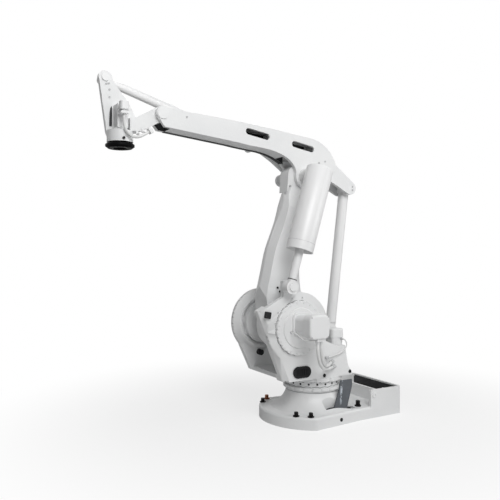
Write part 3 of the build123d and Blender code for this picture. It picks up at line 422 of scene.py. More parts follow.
class Finish(Enum):
    """Every finish on the robot."""

    CASTING = Paint("cast_white", (0.78, 0.785, 0.785), (0.70, 0.71, 0.715), 0.46, 70.0, 0.0009)
    MACHINED = Paint("smooth_white", (0.80, 0.805, 0.805), (0.74, 0.745, 0.75), 0.36, 160.0, 0.0003)
    TUBE = Paint("tube_white", (0.80, 0.80, 0.80), (0.75, 0.755, 0.76), 0.38, 120.0, 0.0003)
    FLANGE = Metal("black_flange", (0.006, 0.006, 0.0065), 0.5, 300.0, (1.0, 1.0, 0.06))
    PIN = Metal("ground_pin", (0.62, 0.63, 0.64), 0.32)
    BEARING = Metal("bearing_ring", (0.42, 0.43, 0.44), 0.38)
    BOLT = Metal("black_bolt", (0.02, 0.019, 0.019), 0.45, 400.0)
    COPPER_BOLT = Metal("browned_bolt", (0.24, 0.1, 0.055), 0.5, 400.0)
    # The guard's pale second colour is a painted sheen, a highlight down one side.
    GUARD = Guard("slate_guard", (0.045, 0.052, 0.062), (0.42, 0.46, 0.5), 0.42, -0.128, 0.016)
    RUBBER = Polymer("stop_rubber", (0.008, 0.008, 0.009), 0.6, 300.0)
    VENT = Polymer("vent_black", (0.006, 0.006, 0.007), 0.5, 420.0)
    # Near-black sheet finish: most pieces in it are painted shade in slots, gaps and recesses; the
    # balancer's rod seal is a real dark part in it.
    LINING = Polymer("trough_lining", (0.035, 0.036, 0.038), 0.55, 260.0)
    CONDUIT = Polymer("white_conduit", (0.70, 0.705, 0.70), 0.42, 320.0)
    GLAND = Polymer("gland_grey", (0.52, 0.525, 0.53), 0.4, 320.0)
    PLATE = Metal("socket_plate", (0.6, 0.61, 0.62), 0.4, 300.0, (1.0, 0.06, 1.0))

    @property
    def slot(self) -> str:
        """The record's material slot that the finish belongs to."""
        return SLOTS[self]


SLOTS: dict[Finish, str] = {
    Finish.CASTING: "white_paint", Finish.MACHINED: "white_paint", Finish.TUBE: "white_paint",
    Finish.FLANGE: "black_paint", Finish.PIN: "pin_steel", Finish.BEARING: "bearing_steel",
    Finish.BOLT: "pin_steel", Finish.COPPER_BOLT: "pin_steel", Finish.GUARD: "slate_guard",
    Finish.RUBBER: "stop_rubber", Finish.VENT: "black_plastic", Finish.LINING: "black_plastic",
    Finish.CONDUIT: "white_conduit", Finish.GLAND: "white_conduit",
    Finish.PLATE: "plate_aluminium",
}


class Stiffness(Enum):
    """How a cable tube bends."""

    LIMP = "limp"
    MEDIUM = "medium"


class Wardrobe:
    """Makes each finish once and puts it on nodes and pieces."""

    def __init__(self, nodes: dict[str, bpy.types.Object]) -> None:
        """Keeps the CAD nodes that get dressed."""
        self.nodes = nodes
        self.made: dict[Finish, bpy.types.Material] = {}

    def get(self, finish: Finish) -> bpy.types.Material:
        """Hands out a finish's material, made on first use.

        Args:
            finish: The finish.

        Returns:
            Its material.
        """
        if finish not in self.made:
            self.made[finish] = finish.value.make()
        return self.made[finish]

    def dress(self, finish: Finish, *names: str) -> None:
        """Puts a finish on CAD nodes.

        Args:
            finish: The finish.
            names: The nodes' names.
        """
        for name in names:
            node = self.nodes[name]
            for slot in node.material_slots:
                slot.material = self.get(finish)
            if not node.material_slots:
                node.data.materials.append(self.get(finish))


@dataclass(frozen=True)
class HeadShape:
    """Hexagon-socket or hexagon-head screw head, built along +Z from its seat."""

    radius: float
    height: float
    hexagon: bool = False
    washer: float = 0.0

    def mesh(self) -> bpy.types.Mesh:
        """Head with a chamfered rim and, where it has one, a socket and a washer.

        Returns:
            A closed mesh with its seat at the origin.
        """
        shape = bmesh.new()
        sides = HEXAGON_SIDES if self.hexagon else ROUND_SIDES
        lift = 0.0
        if self.washer:
            depth = self.height * WASHER_DEPTH
            bmesh.ops.create_cone(
                shape, cap_ends=True, segments=WASHER_SIDES, radius1=self.washer,
                radius2=self.washer, depth=depth, matrix=Matrix.Translation((0, 0, depth / 2)),
            )
            lift = self.height * WASHER_LIFT
        ratios = HEAD_RINGS if self.hexagon else HEAD_RINGS + SOCKET_RINGS
        rings = [(self.radius * r, lift + self.height * h) for r, h in ratios]
        loops = []
        for reach, height in rings:
            loops.append([
                shape.verts.new((
                    reach * math.cos(math.tau * i / sides), reach * math.sin(math.tau * i / sides),
                    height,
                ))
                for i in range(sides)
            ])
        for low, high in zip(loops, loops[1:]):
            for i in range(sides):
                j = (i + 1) % sides
                shape.faces.new((low[i], low[j], high[j], high[i]))
        shape.faces.new(list(reversed(loops[0])))
        shape.faces.new(loops[-1])
        bmesh.ops.recalc_face_normals(shape, faces=shape.faces)
        made = bpy.data.meshes.new("head")
        shape.to_mesh(made)
        shape.free()
        return made


class Fixings:
    """Places screw heads with Geometry Nodes and hands back plain meshes."""

    def __init__(self, wardrobe: Wardrobe) -> None:
        """Builds the two trees: heads at points and heads round a ring.

        Args:
            wardrobe: Where the heads' finishes come from.
        """
        self.wardrobe = wardrobe
        self.points_tree = self._points_tree()
        self.ring_tree = self._ring_tree()

    @staticmethod
    def _start(name: str, sockets: Sequence[tuple[str, str]]) -> bpy.types.NodeTree:
        """Opens a geometry tree with its input sockets.

        Args:
            name: The tree's name.
            sockets: Pairs of input name and socket type.

        Returns:
            The tree, with a group input and output.
        """
        tree = bpy.data.node_groups.new(name, "GeometryNodeTree")
        tree.interface.new_socket("Geometry", in_out="OUTPUT", socket_type="NodeSocketGeometry")
        tree.interface.new_socket("Geometry", in_out="INPUT", socket_type="NodeSocketGeometry")
        for label, kind in sockets:
            tree.interface.new_socket(label, in_out="INPUT", socket_type=kind)
        tree.nodes.new("NodeGroupInput")
        tree.nodes.new("NodeGroupOutput")
        return tree

    @staticmethod
    def _end(tree: bpy.types.NodeTree, instances: bpy.types.NodeSocket) -> None:
        """Closes a tree with Realize Instances and Set Material.

        Args:
            tree: The tree.
            instances: The socket that gives the placed heads.
        """
        source = tree.nodes["Group Input"]
        real = tree.nodes.new("GeometryNodeRealizeInstances")
        paint = tree.nodes.new("GeometryNodeSetMaterial")
        tree.links.new(instances, real.inputs[0])
        tree.links.new(real.outputs[0], paint.inputs["Geometry"])
        tree.links.new(source.outputs["Finish"], paint.inputs["Material"])
        tree.links.new(paint.outputs[0], tree.nodes["Group Output"].inputs[0])

    def _points_tree(self) -> bpy.types.NodeTree:
        """Builds the tree for heads at the points of a mesh, all turned alike.

        Returns:
            The tree.
        """
        tree = self._start("heads_at_points", (
            ("Head", "NodeSocketObject"), ("Turn", "NodeSocketVector"),
            ("Finish", "NodeSocketMaterial"),
        ))
        source = tree.nodes["Group Input"]
        head = tree.nodes.new("GeometryNodeObjectInfo")
        tree.links.new(source.outputs["Head"], head.inputs["Object"])
        scatter = tree.nodes.new("GeometryNodeInstanceOnPoints")
        tree.links.new(source.outputs["Geometry"], scatter.inputs["Points"])
        tree.links.new(head.outputs["Geometry"], scatter.inputs["Instance"])
        turn = tree.nodes.new("FunctionNodeEulerToRotation")
        tree.links.new(source.outputs["Turn"], turn.inputs[0])
        tree.links.new(turn.outputs[0], scatter.inputs["Rotation"])
        self._end(tree, scatter.outputs[0])
        return tree

    def _ring_tree(self) -> bpy.types.NodeTree:
        """Builds the tree for heads round a ring about Z, upright or tilted outwards.

        Returns:
            The tree.
        """
        tree = self._start("heads_round_a_ring", (
            ("Head", "NodeSocketObject"), ("Count", "NodeSocketInt"),
            ("Reach", "NodeSocketFloat"), ("Tilt", "NodeSocketFloat"),
            ("Finish", "NodeSocketMaterial"),
        ))
        source = tree.nodes["Group Input"]
        ring = tree.nodes.new("GeometryNodeMeshCircle")
        tree.links.new(source.outputs["Count"], ring.inputs["Vertices"])
        tree.links.new(source.outputs["Reach"], ring.inputs["Radius"])
        head = tree.nodes.new("GeometryNodeObjectInfo")
        tree.links.new(source.outputs["Head"], head.inputs["Object"])
        place = tree.nodes.new("GeometryNodeInputPosition")
        parts = tree.nodes.new("ShaderNodeSeparateXYZ")
        tree.links.new(place.outputs[0], parts.inputs[0])
        angle = tree.nodes.new("ShaderNodeMath")
        angle.operation = "ARCTAN2"
        tree.links.new(parts.outputs["Y"], angle.inputs[0])
        tree.links.new(parts.outputs["X"], angle.inputs[1])
        euler = tree.nodes.new("ShaderNodeCombineXYZ")
        tree.links.new(source.outputs["Tilt"], euler.inputs["Y"])
        tree.links.new(angle.outputs[0], euler.inputs["Z"])
        turn = tree.nodes.new("FunctionNodeEulerToRotation")
        tree.links.new(euler.outputs[0], turn.inputs[0])
        scatter = tree.nodes.new("GeometryNodeInstanceOnPoints")
        tree.links.new(ring.outputs["Mesh"], scatter.inputs["Points"])
        tree.links.new(head.outputs["Geometry"], scatter.inputs["Instance"])
        tree.links.new(turn.outputs[0], scatter.inputs["Rotation"])
        self._end(tree, scatter.outputs[0])
        return tree

    def _bake(
        self, name: str, tree: bpy.types.NodeTree, seed: bpy.types.Mesh, head: HeadShape,
        finish: Finish, values: dict[str, object], place: Matrix, body: str,
    ) -> bpy.types.Object:
        """Runs a tree once and keeps its result as a plain mesh on a body.

        Args:
            name: The piece's name.
            tree: The geometry tree.
            seed: The mesh that the modifier stands on.
            head: The screw head's shape.
            finish: The head's finish.
            values: Further inputs by name.
            place: Where the result goes in the row's frame.
            body: The body it rides on.

        Returns:
            The piece.
        """
        pattern = bpy.data.objects.new(name + "_head", head.mesh())
        host = bpy.data.objects.new(name + "_host", seed)
        for item in (pattern, host):
            bpy.context.scene.collection.objects.link(item)
        run = host.modifiers.new("place", "NODES")
        run.node_group = tree
        inputs = {"Head": pattern, "Finish": self.wardrobe.get(finish), **values}
        for item in tree.interface.items_tree:
            if item.in_out == "INPUT" and item.name in inputs:
                run[item.identifier] = inputs[item.name]
        host.update_tag()
        result = baked_mesh(host, (pattern,))
        result.transform(place)
        return finish_piece(name, result, body)

    def at_points(
        self, name: str, body: str, head: HeadShape, finish: Finish, places: Iterable[Point],
        turn: Point = (0.0, 0.0, 0.0),
    ) -> bpy.types.Object:
        """Heads at single places, all facing one way.

        Args:
            name: The piece's name.
            body: The body it rides on.
            head: The head's shape.
            finish: The head's finish.
            places: Seats of the heads, in metres.
            turn: Euler angles that turn +Z to the way the heads face.

        Returns:
            The piece.
        """
        seed = bpy.data.meshes.new(name)
        seed.from_pydata([tuple(p) for p in places], [], [])
        return self._bake(name, self.points_tree, seed, head, finish, {"Turn": turn},
                          Matrix.Identity(4), body)

    def round_ring(
        self, name: str, body: str, head: HeadShape, finish: Finish, centre: Point,
        reach: float, count: int, axis: Point = (0, 0, 1), tilt: float = 0.0, start: float = 0.0,
    ) -> bpy.types.Object:
        """Heads round a circle.

        Args:
            name: The piece's name.
            body: The body it rides on.
            head: The head's shape.
            finish: The head's finish.
            centre: The circle's centre, at the heads' seats.
            reach: The circle's radius.
            count: How many heads.
            axis: The circle's axis, the way upright heads face.
            tilt: Lean of the heads away from the axis, in degrees.
            start: Angle of the first head, in degrees.

        Returns:
            The piece.
        """
        place = upright(centre, axis) @ Matrix.Rotation(math.radians(start), 4, "Z")
        values = {"Count": count, "Reach": reach, "Tilt": math.radians(tilt)}
        seed = bpy.data.meshes.new(name)
        seed.from_pydata([(0, 0, 0)], [], [])
        return self._bake(name, self.ring_tree, seed, head, finish, values, place, body)


def finish_piece(
    name: str, mesh: bpy.types.Mesh, body: str
) -> bpy.types.Object:
    """Links a mesh as a piece of a body.

    Args:
        name: The piece's name.
        mesh: Its mesh, in the row's frame.
        body: The body it rides on.

    Returns:
        The piece.
    """
    mesh.name = name
    piece = bpy.data.objects.new(name, mesh)
    bpy.context.scene.collection.objects.link(piece)
    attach(piece, body)
    LOG.info("piece %s on %s: %d faces", name, body, len(mesh.polygons))
    return piece


def prism(
    outline: Sequence[Pair], near: float, far: float, lean: float = 0.0, flat: bool = False
) -> bpy.types.Mesh:
    """Closed prism across the side view, or across the plan.

    Args:
        outline: Corners as X and Z, or as X and Y in the plan.
        near: Y of one end, or its height in the plan.
        far: Y of the other end, or its height in the plan.
        lean: How far Y goes back for each metre of height.
        flat: Whether the outline lies in the plan.

    Returns:
        The mesh.
    """
    shape = bmesh.new()
    ends = [
        [shape.verts.new((u, v, end) if flat else (u, end - lean * v, v)) for u, v in outline]
        for end in (near, far)
    ]
    shape.faces.new(ends[0])
    shape.faces.new(ends[1])
    for i in range(len(outline)):
        j = (i + 1) % len(outline)
        shape.faces.new((ends[0][i], ends[0][j], ends[1][j], ends[1][i]))
    return closed_mesh(shape)


def upright(centre: Point, axis: Point) -> Matrix:
    """The turn and shift that bring +Z onto an axis through a centre."""
    return Matrix.Translation(centre) @ Vector(axis).to_track_quat("Z", "Y").to_matrix().to_4x4()


def join_rings(
    shape: bmesh.types.BMesh, rings: Sequence[Sequence[bmesh.types.BMVert]]
) -> bpy.types.Mesh:
    """Joins each section of a closed ring to the next.

    Args:
        shape: The shape that holds the corners.
        rings: The corners of each section, in order round the ring.

    Returns:
        The closed mesh.
    """
    for i, ring in enumerate(rings):
        other = rings[(i + 1) % len(rings)]
        for k, corner in enumerate(ring):
            m = (k + 1) % len(ring)
            shape.faces.new((corner, ring[m], other[m], other[k]))
    return closed_mesh(shape)


def lathe(
    profile: Sequence[Pair], centre: Point, axis: Point, steps: int = 96
) -> bpy.types.Mesh:
    """Closed ring turned about an axis.

    Args:
        profile: Corners of the section as radius and height along the axis.
        centre: The axis's start.
        axis: The axis's direction.
        steps: Divisions round the axis.

    Returns:
        The mesh.
    """
    shape = bmesh.new()
    place = upright(centre, axis)
    return join_rings(shape, [
        [shape.verts.new(place @ Vector((r * math.cos(math.tau * i / steps),
                                         r * math.sin(math.tau * i / steps), h)))
         for r, h in profile]
        for i in range(steps)
    ])


@dataclass(frozen=True)
class ShadeRing:
    """Thin closed ring whose course swings in and out, or along its axis."""

    name: str
    centre: Point
    axis: Point
    reach: float
    width: float
    depth: float
    swing: float
    along: bool
    waves: int = 20
    steps: int = 16

    def mesh(self) -> bpy.types.Mesh:
        """Builds the ring, its steps counted for each wave.

        Returns:
            The mesh.
        """
        shape = bmesh.new()
        place = upright(self.centre, self.axis)
        total = self.waves * self.steps
        rings = []
        for i in range(total):
            angle = math.tau * i / total
            shift = self.swing * abs(math.sin(angle * self.waves / 2))
            corners = []
            for a, b in ((-0.5, 0.0), (0.5, 0.0), (0.5, 1.0), (-0.5, 1.0)):
                across, out = a * self.width + shift, b * self.depth
                r, h = (self.reach + out, across) if self.along else (self.reach + across, out)
                corners.append(
                    shape.verts.new(place @ Vector((r * math.cos(angle), r * math.sin(angle), h)))
                )
            rings.append(corners)
        return join_rings(shape, rings)


@dataclass(frozen=True)
class SidePlate:
    """Plate with its outline in the side view, between two places across the robot."""

    outline: Outline
    near: float
    far: float

    def mesh(self) -> bpy.types.Mesh:
        """The plate's closed mesh."""
        return prism(self.outline, self.near, self.far)


def closed_mesh(shape: bmesh.types.BMesh) -> bpy.types.Mesh:
    """Turns a closed shape's faces outwards and frees it.

    Args:
        shape: The shape.

    Returns:
        Its mesh.
    """
    bmesh.ops.remove_doubles(shape, verts=shape.verts, dist=SHAPE_WELD)
    bmesh.ops.recalc_face_normals(shape, faces=shape.faces)
    made = bpy.data.meshes.new("shape")
    shape.to_mesh(made)
    shape.free()
    return made


def baked_mesh(host: bpy.types.Object, helpers: Sequence[bpy.types.Object]) -> bpy.types.Mesh:
    """Turns an object and its modifiers into a plain mesh.

    Args:
        host: The object, which is then removed.
        helpers: Objects that its modifiers read, removed too.

    Returns:
        The mesh.
    """
    graph = bpy.context.evaluated_depsgraph_get()
    result = bpy.data.meshes.new_from_object(host.evaluated_get(graph), depsgraph=graph)
    for item in (host, *helpers):
        bpy.data.objects.remove(item)
    return result


def capsule(first: Pair, last: Pair, radius: float, steps: int = 14) -> list[Pair]:
    """Outline of a slot with round ends.

    Args:
        first: Centre of one end.
        last: Centre of the other end.
        radius: Half of the slot's height.
        steps: Divisions of each end.

    Returns:
        The outline's corners.
    """
    heading = math.atan2(last[1] - first[1], last[0] - first[0])
    outline = []
    for (x, z), start in ((last, heading - math.pi / 2), (first, heading + math.pi / 2)):
        for i in range(steps + 1):
            angle = start + math.pi * i / steps
            outline.append((x + radius * math.cos(angle), z + radius * math.sin(angle)))
    return outline


@dataclass(frozen=True)
class Carving:
    """Finer cuts in a copy of one CAD node, which the copy then stands for."""

    node: str
    body: str
    finish: Finish

    def cut(self, wardrobe: Wardrobe, tools: Sequence[bpy.types.Mesh]) -> bpy.types.Object:
        """Takes the tools' shapes away from the copy.

        Args:
            wardrobe: Where the finish and the node come from.
            tools: Closed meshes in the row's frame.

        Returns:
            The carved piece.
        """
        shape = bmesh.new()
        shape.from_mesh(wardrobe.nodes[self.node].data)
        bmesh.ops.remove_doubles(shape, verts=shape.verts, dist=NODE_WELD)
        base = bpy.data.meshes.new(self.node + "_base")
        shape.to_mesh(base)
        shape.free()
        host = bpy.data.objects.new(self.node + "_host", base)
        cutters = [bpy.data.objects.new(self.node + "_cutter", tool) for tool in tools]
        for item in (host, *cutters):
            bpy.context.scene.collection.objects.link(item)
        for cutter in cutters:
            step = host.modifiers.new("cut", "BOOLEAN")
            step.operation, step.solver, step.object = "DIFFERENCE", "EXACT", cutter
        result = baked_mesh(host, cutters)
        result.materials.clear()
        result.materials.append(wardrobe.get(self.finish))
        result.shade_smooth()
        result.set_sharp_from_angle(angle=CARVED_SHARP)
        piece = finish_piece(self.node + "_carved", result, self.body)
        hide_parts(self.node)
        return piece


def solid_piece(
    name: str, mesh: bpy.types.Mesh, body: str, finish: Finish, wardrobe: Wardrobe,
    soften: float = 0.0,
) -> bpy.types.Object:
    """Adds a mesh as a piece with its finish.

    Args:
        name: The piece's name.
        mesh: Its closed mesh.
        body: The body it rides on.
        finish: Its finish.
        wardrobe: Where the finish comes from.
        soften: Width of a bevel on its edges.

    Returns:
        The piece.
    """
    if soften:
        shape = bmesh.new()
        shape.from_mesh(mesh)
        bmesh.ops.bevel(shape, geom=shape.edges[:], offset=soften, segments=2, affect="EDGES")
        shape.to_mesh(mesh)
        shape.free()
    mesh.materials.append(wardrobe.get(finish))
    mesh.shade_smooth()
    mesh.set_sharp_from_angle(angle=PIECE_SHARP)
    return finish_piece(name, mesh, body)


@dataclass(frozen=True)
class Tube:
    """One cable tube, on a smooth line through its route's control points."""

    node: str
    body: str
    radius: float
    length: float
    stiffness: Stiffness
    route: tuple[Point, ...]

    def lay(self, wardrobe: Wardrobe) -> bpy.types.Object:
        """Makes the tube in place of its CAD solid.

        Args:
            wardrobe: Where the tube's finish comes from.

        Returns:
            The curve object.
        """
        curve = bpy.data.curves.new(self.node + "_line", "CURVE")
        curve.dimensions = "3D"
        line = curve.splines.new("NURBS")
        line.points.add(len(self.route) - 1)
        for point, place in zip(line.points, self.route):
            point.co = (*place, 1.0)
        line.order_u = 3
        line.use_endpoint_u = True
        line.resolution_u = 14
        curve.bevel_depth = self.radius
        curve.bevel_resolution = 5
        curve.use_fill_caps = True
        curve.materials.append(wardrobe.get(Finish.CONDUIT))
        piece = bpy.data.objects.new(self.node + "_tube", curve)
        bpy.context.scene.collection.objects.link(piece)
        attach(piece, self.body)
        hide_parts(self.node)
        LOG.info("tube %s on %s: %.3f m", self.node, self.body, self.length)
        return piece


FRONT_CONDUIT: tuple[Point, ...] = (
    (0.288, 0.480, 0.722), (0.288, 0.480, 0.666), (0.266, 0.464, 0.591), (0.221, 0.433, 0.526),
    (0.152, 0.385, 0.481), (0.067, 0.325, 0.466), (-0.023, 0.262, 0.463),
)
REAR_CONDUIT: tuple[Point, ...] = (
    (0.252, 0.480, 0.722), (0.252, 0.480, 0.668), (0.235, 0.466, 0.603), (0.190, 0.429, 0.540),
    (0.129, 0.378, 0.502), (0.060, 0.321, 0.495), (-0.009, 0.264, 0.504),
)
MOTOR_LEAD: tuple[Point, ...] = (
    (0.402, 0.284, 0.789), (0.402, 0.332, 0.789), (0.401, 0.386, 0.770), (0.402, 0.437, 0.751),
    (0.385, 0.466, 0.745), (0.355, 0.484, 0.743), (0.312, 0.484, 0.743),
)
SLEW_LEAD: tuple[Point, ...] = (
    (-0.180, 0.206, 0.684), (-0.180, 0.226, 0.684), (-0.182, 0.245, 0.674),
    (-0.183, 0.257, 0.656), (-0.179, 0.262, 0.632), (-0.155, 0.263, 0.600),
    (-0.105, 0.259, 0.572), (-0.048, 0.253, 0.556), (0.006, 0.247, 0.547),
)
WRIST_HOSE: tuple[Point, ...] = (
    (1.737, 0.110, 2.455), (1.737, 0.110, 2.415), (1.734, 0.112, 2.355), (1.720, 0.114, 2.316),
    (1.693, 0.112, 2.290), (1.659, 0.106, 2.279), (1.621, 0.100, 2.284), (1.581, 0.094, 2.304),
    (1.540, 0.088, 2.333),
)


def far_side(route: tuple[Point, ...], shift: float = 0.160) -> tuple[Point, ...]:
    """The same route beside the far motor.

    Args:
        route: Control points on the near side.
        shift: How much further out the far motor's cap stands.

    Returns:
        The control points on the far side.
    """
    return tuple((x, -(y + shift), z) for x, y, z in route)


TUBES: tuple[Tube, ...] = (
    Tube("conduit_front", "frame", 0.013, 0.5279, Stiffness.MEDIUM, FRONT_CONDUIT),
    Tube("conduit_rear", "frame", 0.013, 0.4729, Stiffness.MEDIUM, REAR_CONDUIT),
    Tube("far_conduit_front", "frame", 0.013, 0.5279, Stiffness.MEDIUM, far_side(FRONT_CONDUIT)),
    Tube("far_conduit_rear", "frame", 0.013, 0.4729, Stiffness.MEDIUM, far_side(REAR_CONDUIT)),
    Tube("motor_lead", "frame", 0.0053, 0.2692, Stiffness.MEDIUM, MOTOR_LEAD),
    Tube("slew_lead", "frame", 0.0053, 0.2977, Stiffness.LIMP, SLEW_LEAD),
    Tube("wrist_hose", "tilt_house", 0.011, 0.3474, Stiffness.LIMP, WRIST_HOSE),
)


FACING_LEFT: Point = (-math.pi / 2, 0.0, 0.0)
FACING_RIGHT: Point = (math.pi / 2, 0.0, 0.0)


@dataclass
class Base:
    """Base casting with its floor bolts, sockets and cable guard."""

    front_bolts: Pair = (0.345, 0.265)
    side_bolts: Pair = (0.255, 0.345)
    rear_bolts: Pair = (-0.300, 0.265)
    plate_top: float = 0.100
    bolt: HeadShape = HeadShape(0.019, 0.030, True, 0.027)
    rear_bolt: HeadShape = HeadShape(0.020, 0.042, True, 0.028)
    plug: HeadShape = HeadShape(0.016, 0.003)
    plug_place: Point = (-0.036, 0.371, 0.044)
    plug_turn: Point = (-math.pi / 2, 0.0, 0.109)
    boss: HeadShape = HeadShape(0.022, 0.008)
    boss_place: Point = (-0.418, 0.343, 0.195)
    # The trough lining is partly painted shade: the rear wall's inner face is darkened beyond its
    # lining.
    shade_lining_x: float = -0.7245
    shade_lining_low: float = 0.045
    shade_lining_high: float = 0.228
    shade_lining_half: float = 0.300
    shade_lining_thick: float = 0.003
    shade_lining_corner: float = 0.012
    guard_near: float = 0.3105
    guard_far: float = 0.3185
    guard_lean: float = 0.3346
    guard_outline: Outline = (
        (-0.150, 0.072), (-0.167, 0.107), (-0.201, 0.163), (-0.247, 0.239), (-0.273, 0.285),
        (-0.281, 0.327), (-0.153, 0.327), (-0.132, 0.276), (-0.104, 0.230), (-0.068, 0.171),
        (-0.034, 0.124), (-0.018, 0.072),
    )
    # Dark sheets in the guard's slot are painted shade: the slot's near wall and its opening drawn
    # dark.
    slot_wall_shade: SidePlate = SidePlate((
        (-0.236, 0.0985), (-0.236, 0.0702), (0.056, 0.0702), (0.056, 0.104), (0.0, 0.116),
        (-0.120, 0.116),
    ), 0.2402, 0.2440)
    slot_shade_plan: Outline = (
        (-0.243, 0.2402), (-0.243, 0.256), (-0.024, 0.290), (0.030, 0.262), (0.036, 0.2402),
    )
    slot_shade_low: float = 0.0965
    slot_shade_high: float = 0.0985

    def dress(self, wardrobe: Wardrobe, fixings: Fixings) -> None:
        """Paints the base and adds its bolts, plug, boss and guard, with the trough's dark lining,
        partly painted shade, and the slot's dark sheets, painted shade.

        Args:
            wardrobe: Where finishes come from.
            fixings: What places the bolts.
        """
        wardrobe.dress(Finish.CASTING, "base_casting")
        wardrobe.dress(Finish.BEARING, "slew_bearing", "slew_gear_unit")
        wardrobe.dress(Finish.PLATE, "connector_plate")
        wardrobe.dress(Finish.VENT, "cable_sockets")
        top = self.plate_top
        fixings.at_points("front_floor_bolts", "base", self.bolt, Finish.BOLT, [
            (self.front_bolts[0], self.front_bolts[1], top),
            (self.side_bolts[0], self.side_bolts[1], top),
            (self.front_bolts[0], -self.front_bolts[1], top),
        ])
        fixings.at_points("rear_floor_bolts", "base", self.rear_bolt, Finish.BOLT, [
            (self.rear_bolts[0], side * self.rear_bolts[1], top) for side in (1, -1)
        ])
        fixings.at_points("browned_floor_bolt", "base", self.bolt, Finish.COPPER_BOLT, [
            (self.side_bolts[0], -self.side_bolts[1], top),
        ])
        fixings.at_points("base_side_plug", "base", self.plug, Finish.VENT, [self.plug_place],
                          self.plug_turn)
        fixings.at_points("trough_wall_boss", "base", self.boss, Finish.CASTING,
                          [self.boss_place], FACING_LEFT)
        self._shade_lining(wardrobe)
        self._guard(wardrobe)

    def _guard(self, wardrobe: Wardrobe) -> None:
        """Adds the broad leaning cable guard, and dark sheets round its foot in the slot, which are
        painted shade.

        Args:
            wardrobe: Where finishes come from.
        """
        sheet = prism(self.guard_outline, self.guard_near, self.guard_far, self.guard_lean)
        guard = solid_piece("leaning_guard", sheet, "base", Finish.GUARD, wardrobe)
        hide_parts("cable_guard")
        solid_piece("slot_edging", self.slot_wall_shade.mesh(), "base", Finish.LINING, wardrobe)
        slot_shade = prism(self.slot_shade_plan, self.slot_shade_low, self.slot_shade_high, flat=True)
        solid_piece("slot_rubber", slot_shade, "base", Finish.LINING, wardrobe)

    def _shade_lining(self, wardrobe: Wardrobe) -> None:
        """Adds the dark sheet on the inner face of the trough's rear wall, part dark lining and part
        painted shade.

        Args:
            wardrobe: Where finishes come from.
        """
        shape = bmesh.new()
        middle = Matrix.Translation((self.shade_lining_x, 0, (self.shade_lining_low + self.shade_lining_high) / 2))
        size = (self.shade_lining_thick, 2 * self.shade_lining_half, self.shade_lining_high - self.shade_lining_low, 1)
        bmesh.ops.create_cube(shape, size=1.0, matrix=middle @ Matrix.Diagonal(size))
        corners = [
            edge for edge in shape.edges
            if abs(edge.verts[0].co.x - edge.verts[1].co.x) > self.shade_lining_thick / 2
        ]
        bmesh.ops.bevel(
            shape, geom=corners, offset=self.shade_lining_corner, segments=4, affect="EDGES"
        )
        sheet = bpy.data.meshes.new("trough_lining")
        shape.to_mesh(sheet)
        shape.free()
        sheet.materials.append(wardrobe.get(Finish.LINING))
        finish_piece("trough_lining", sheet, "base")


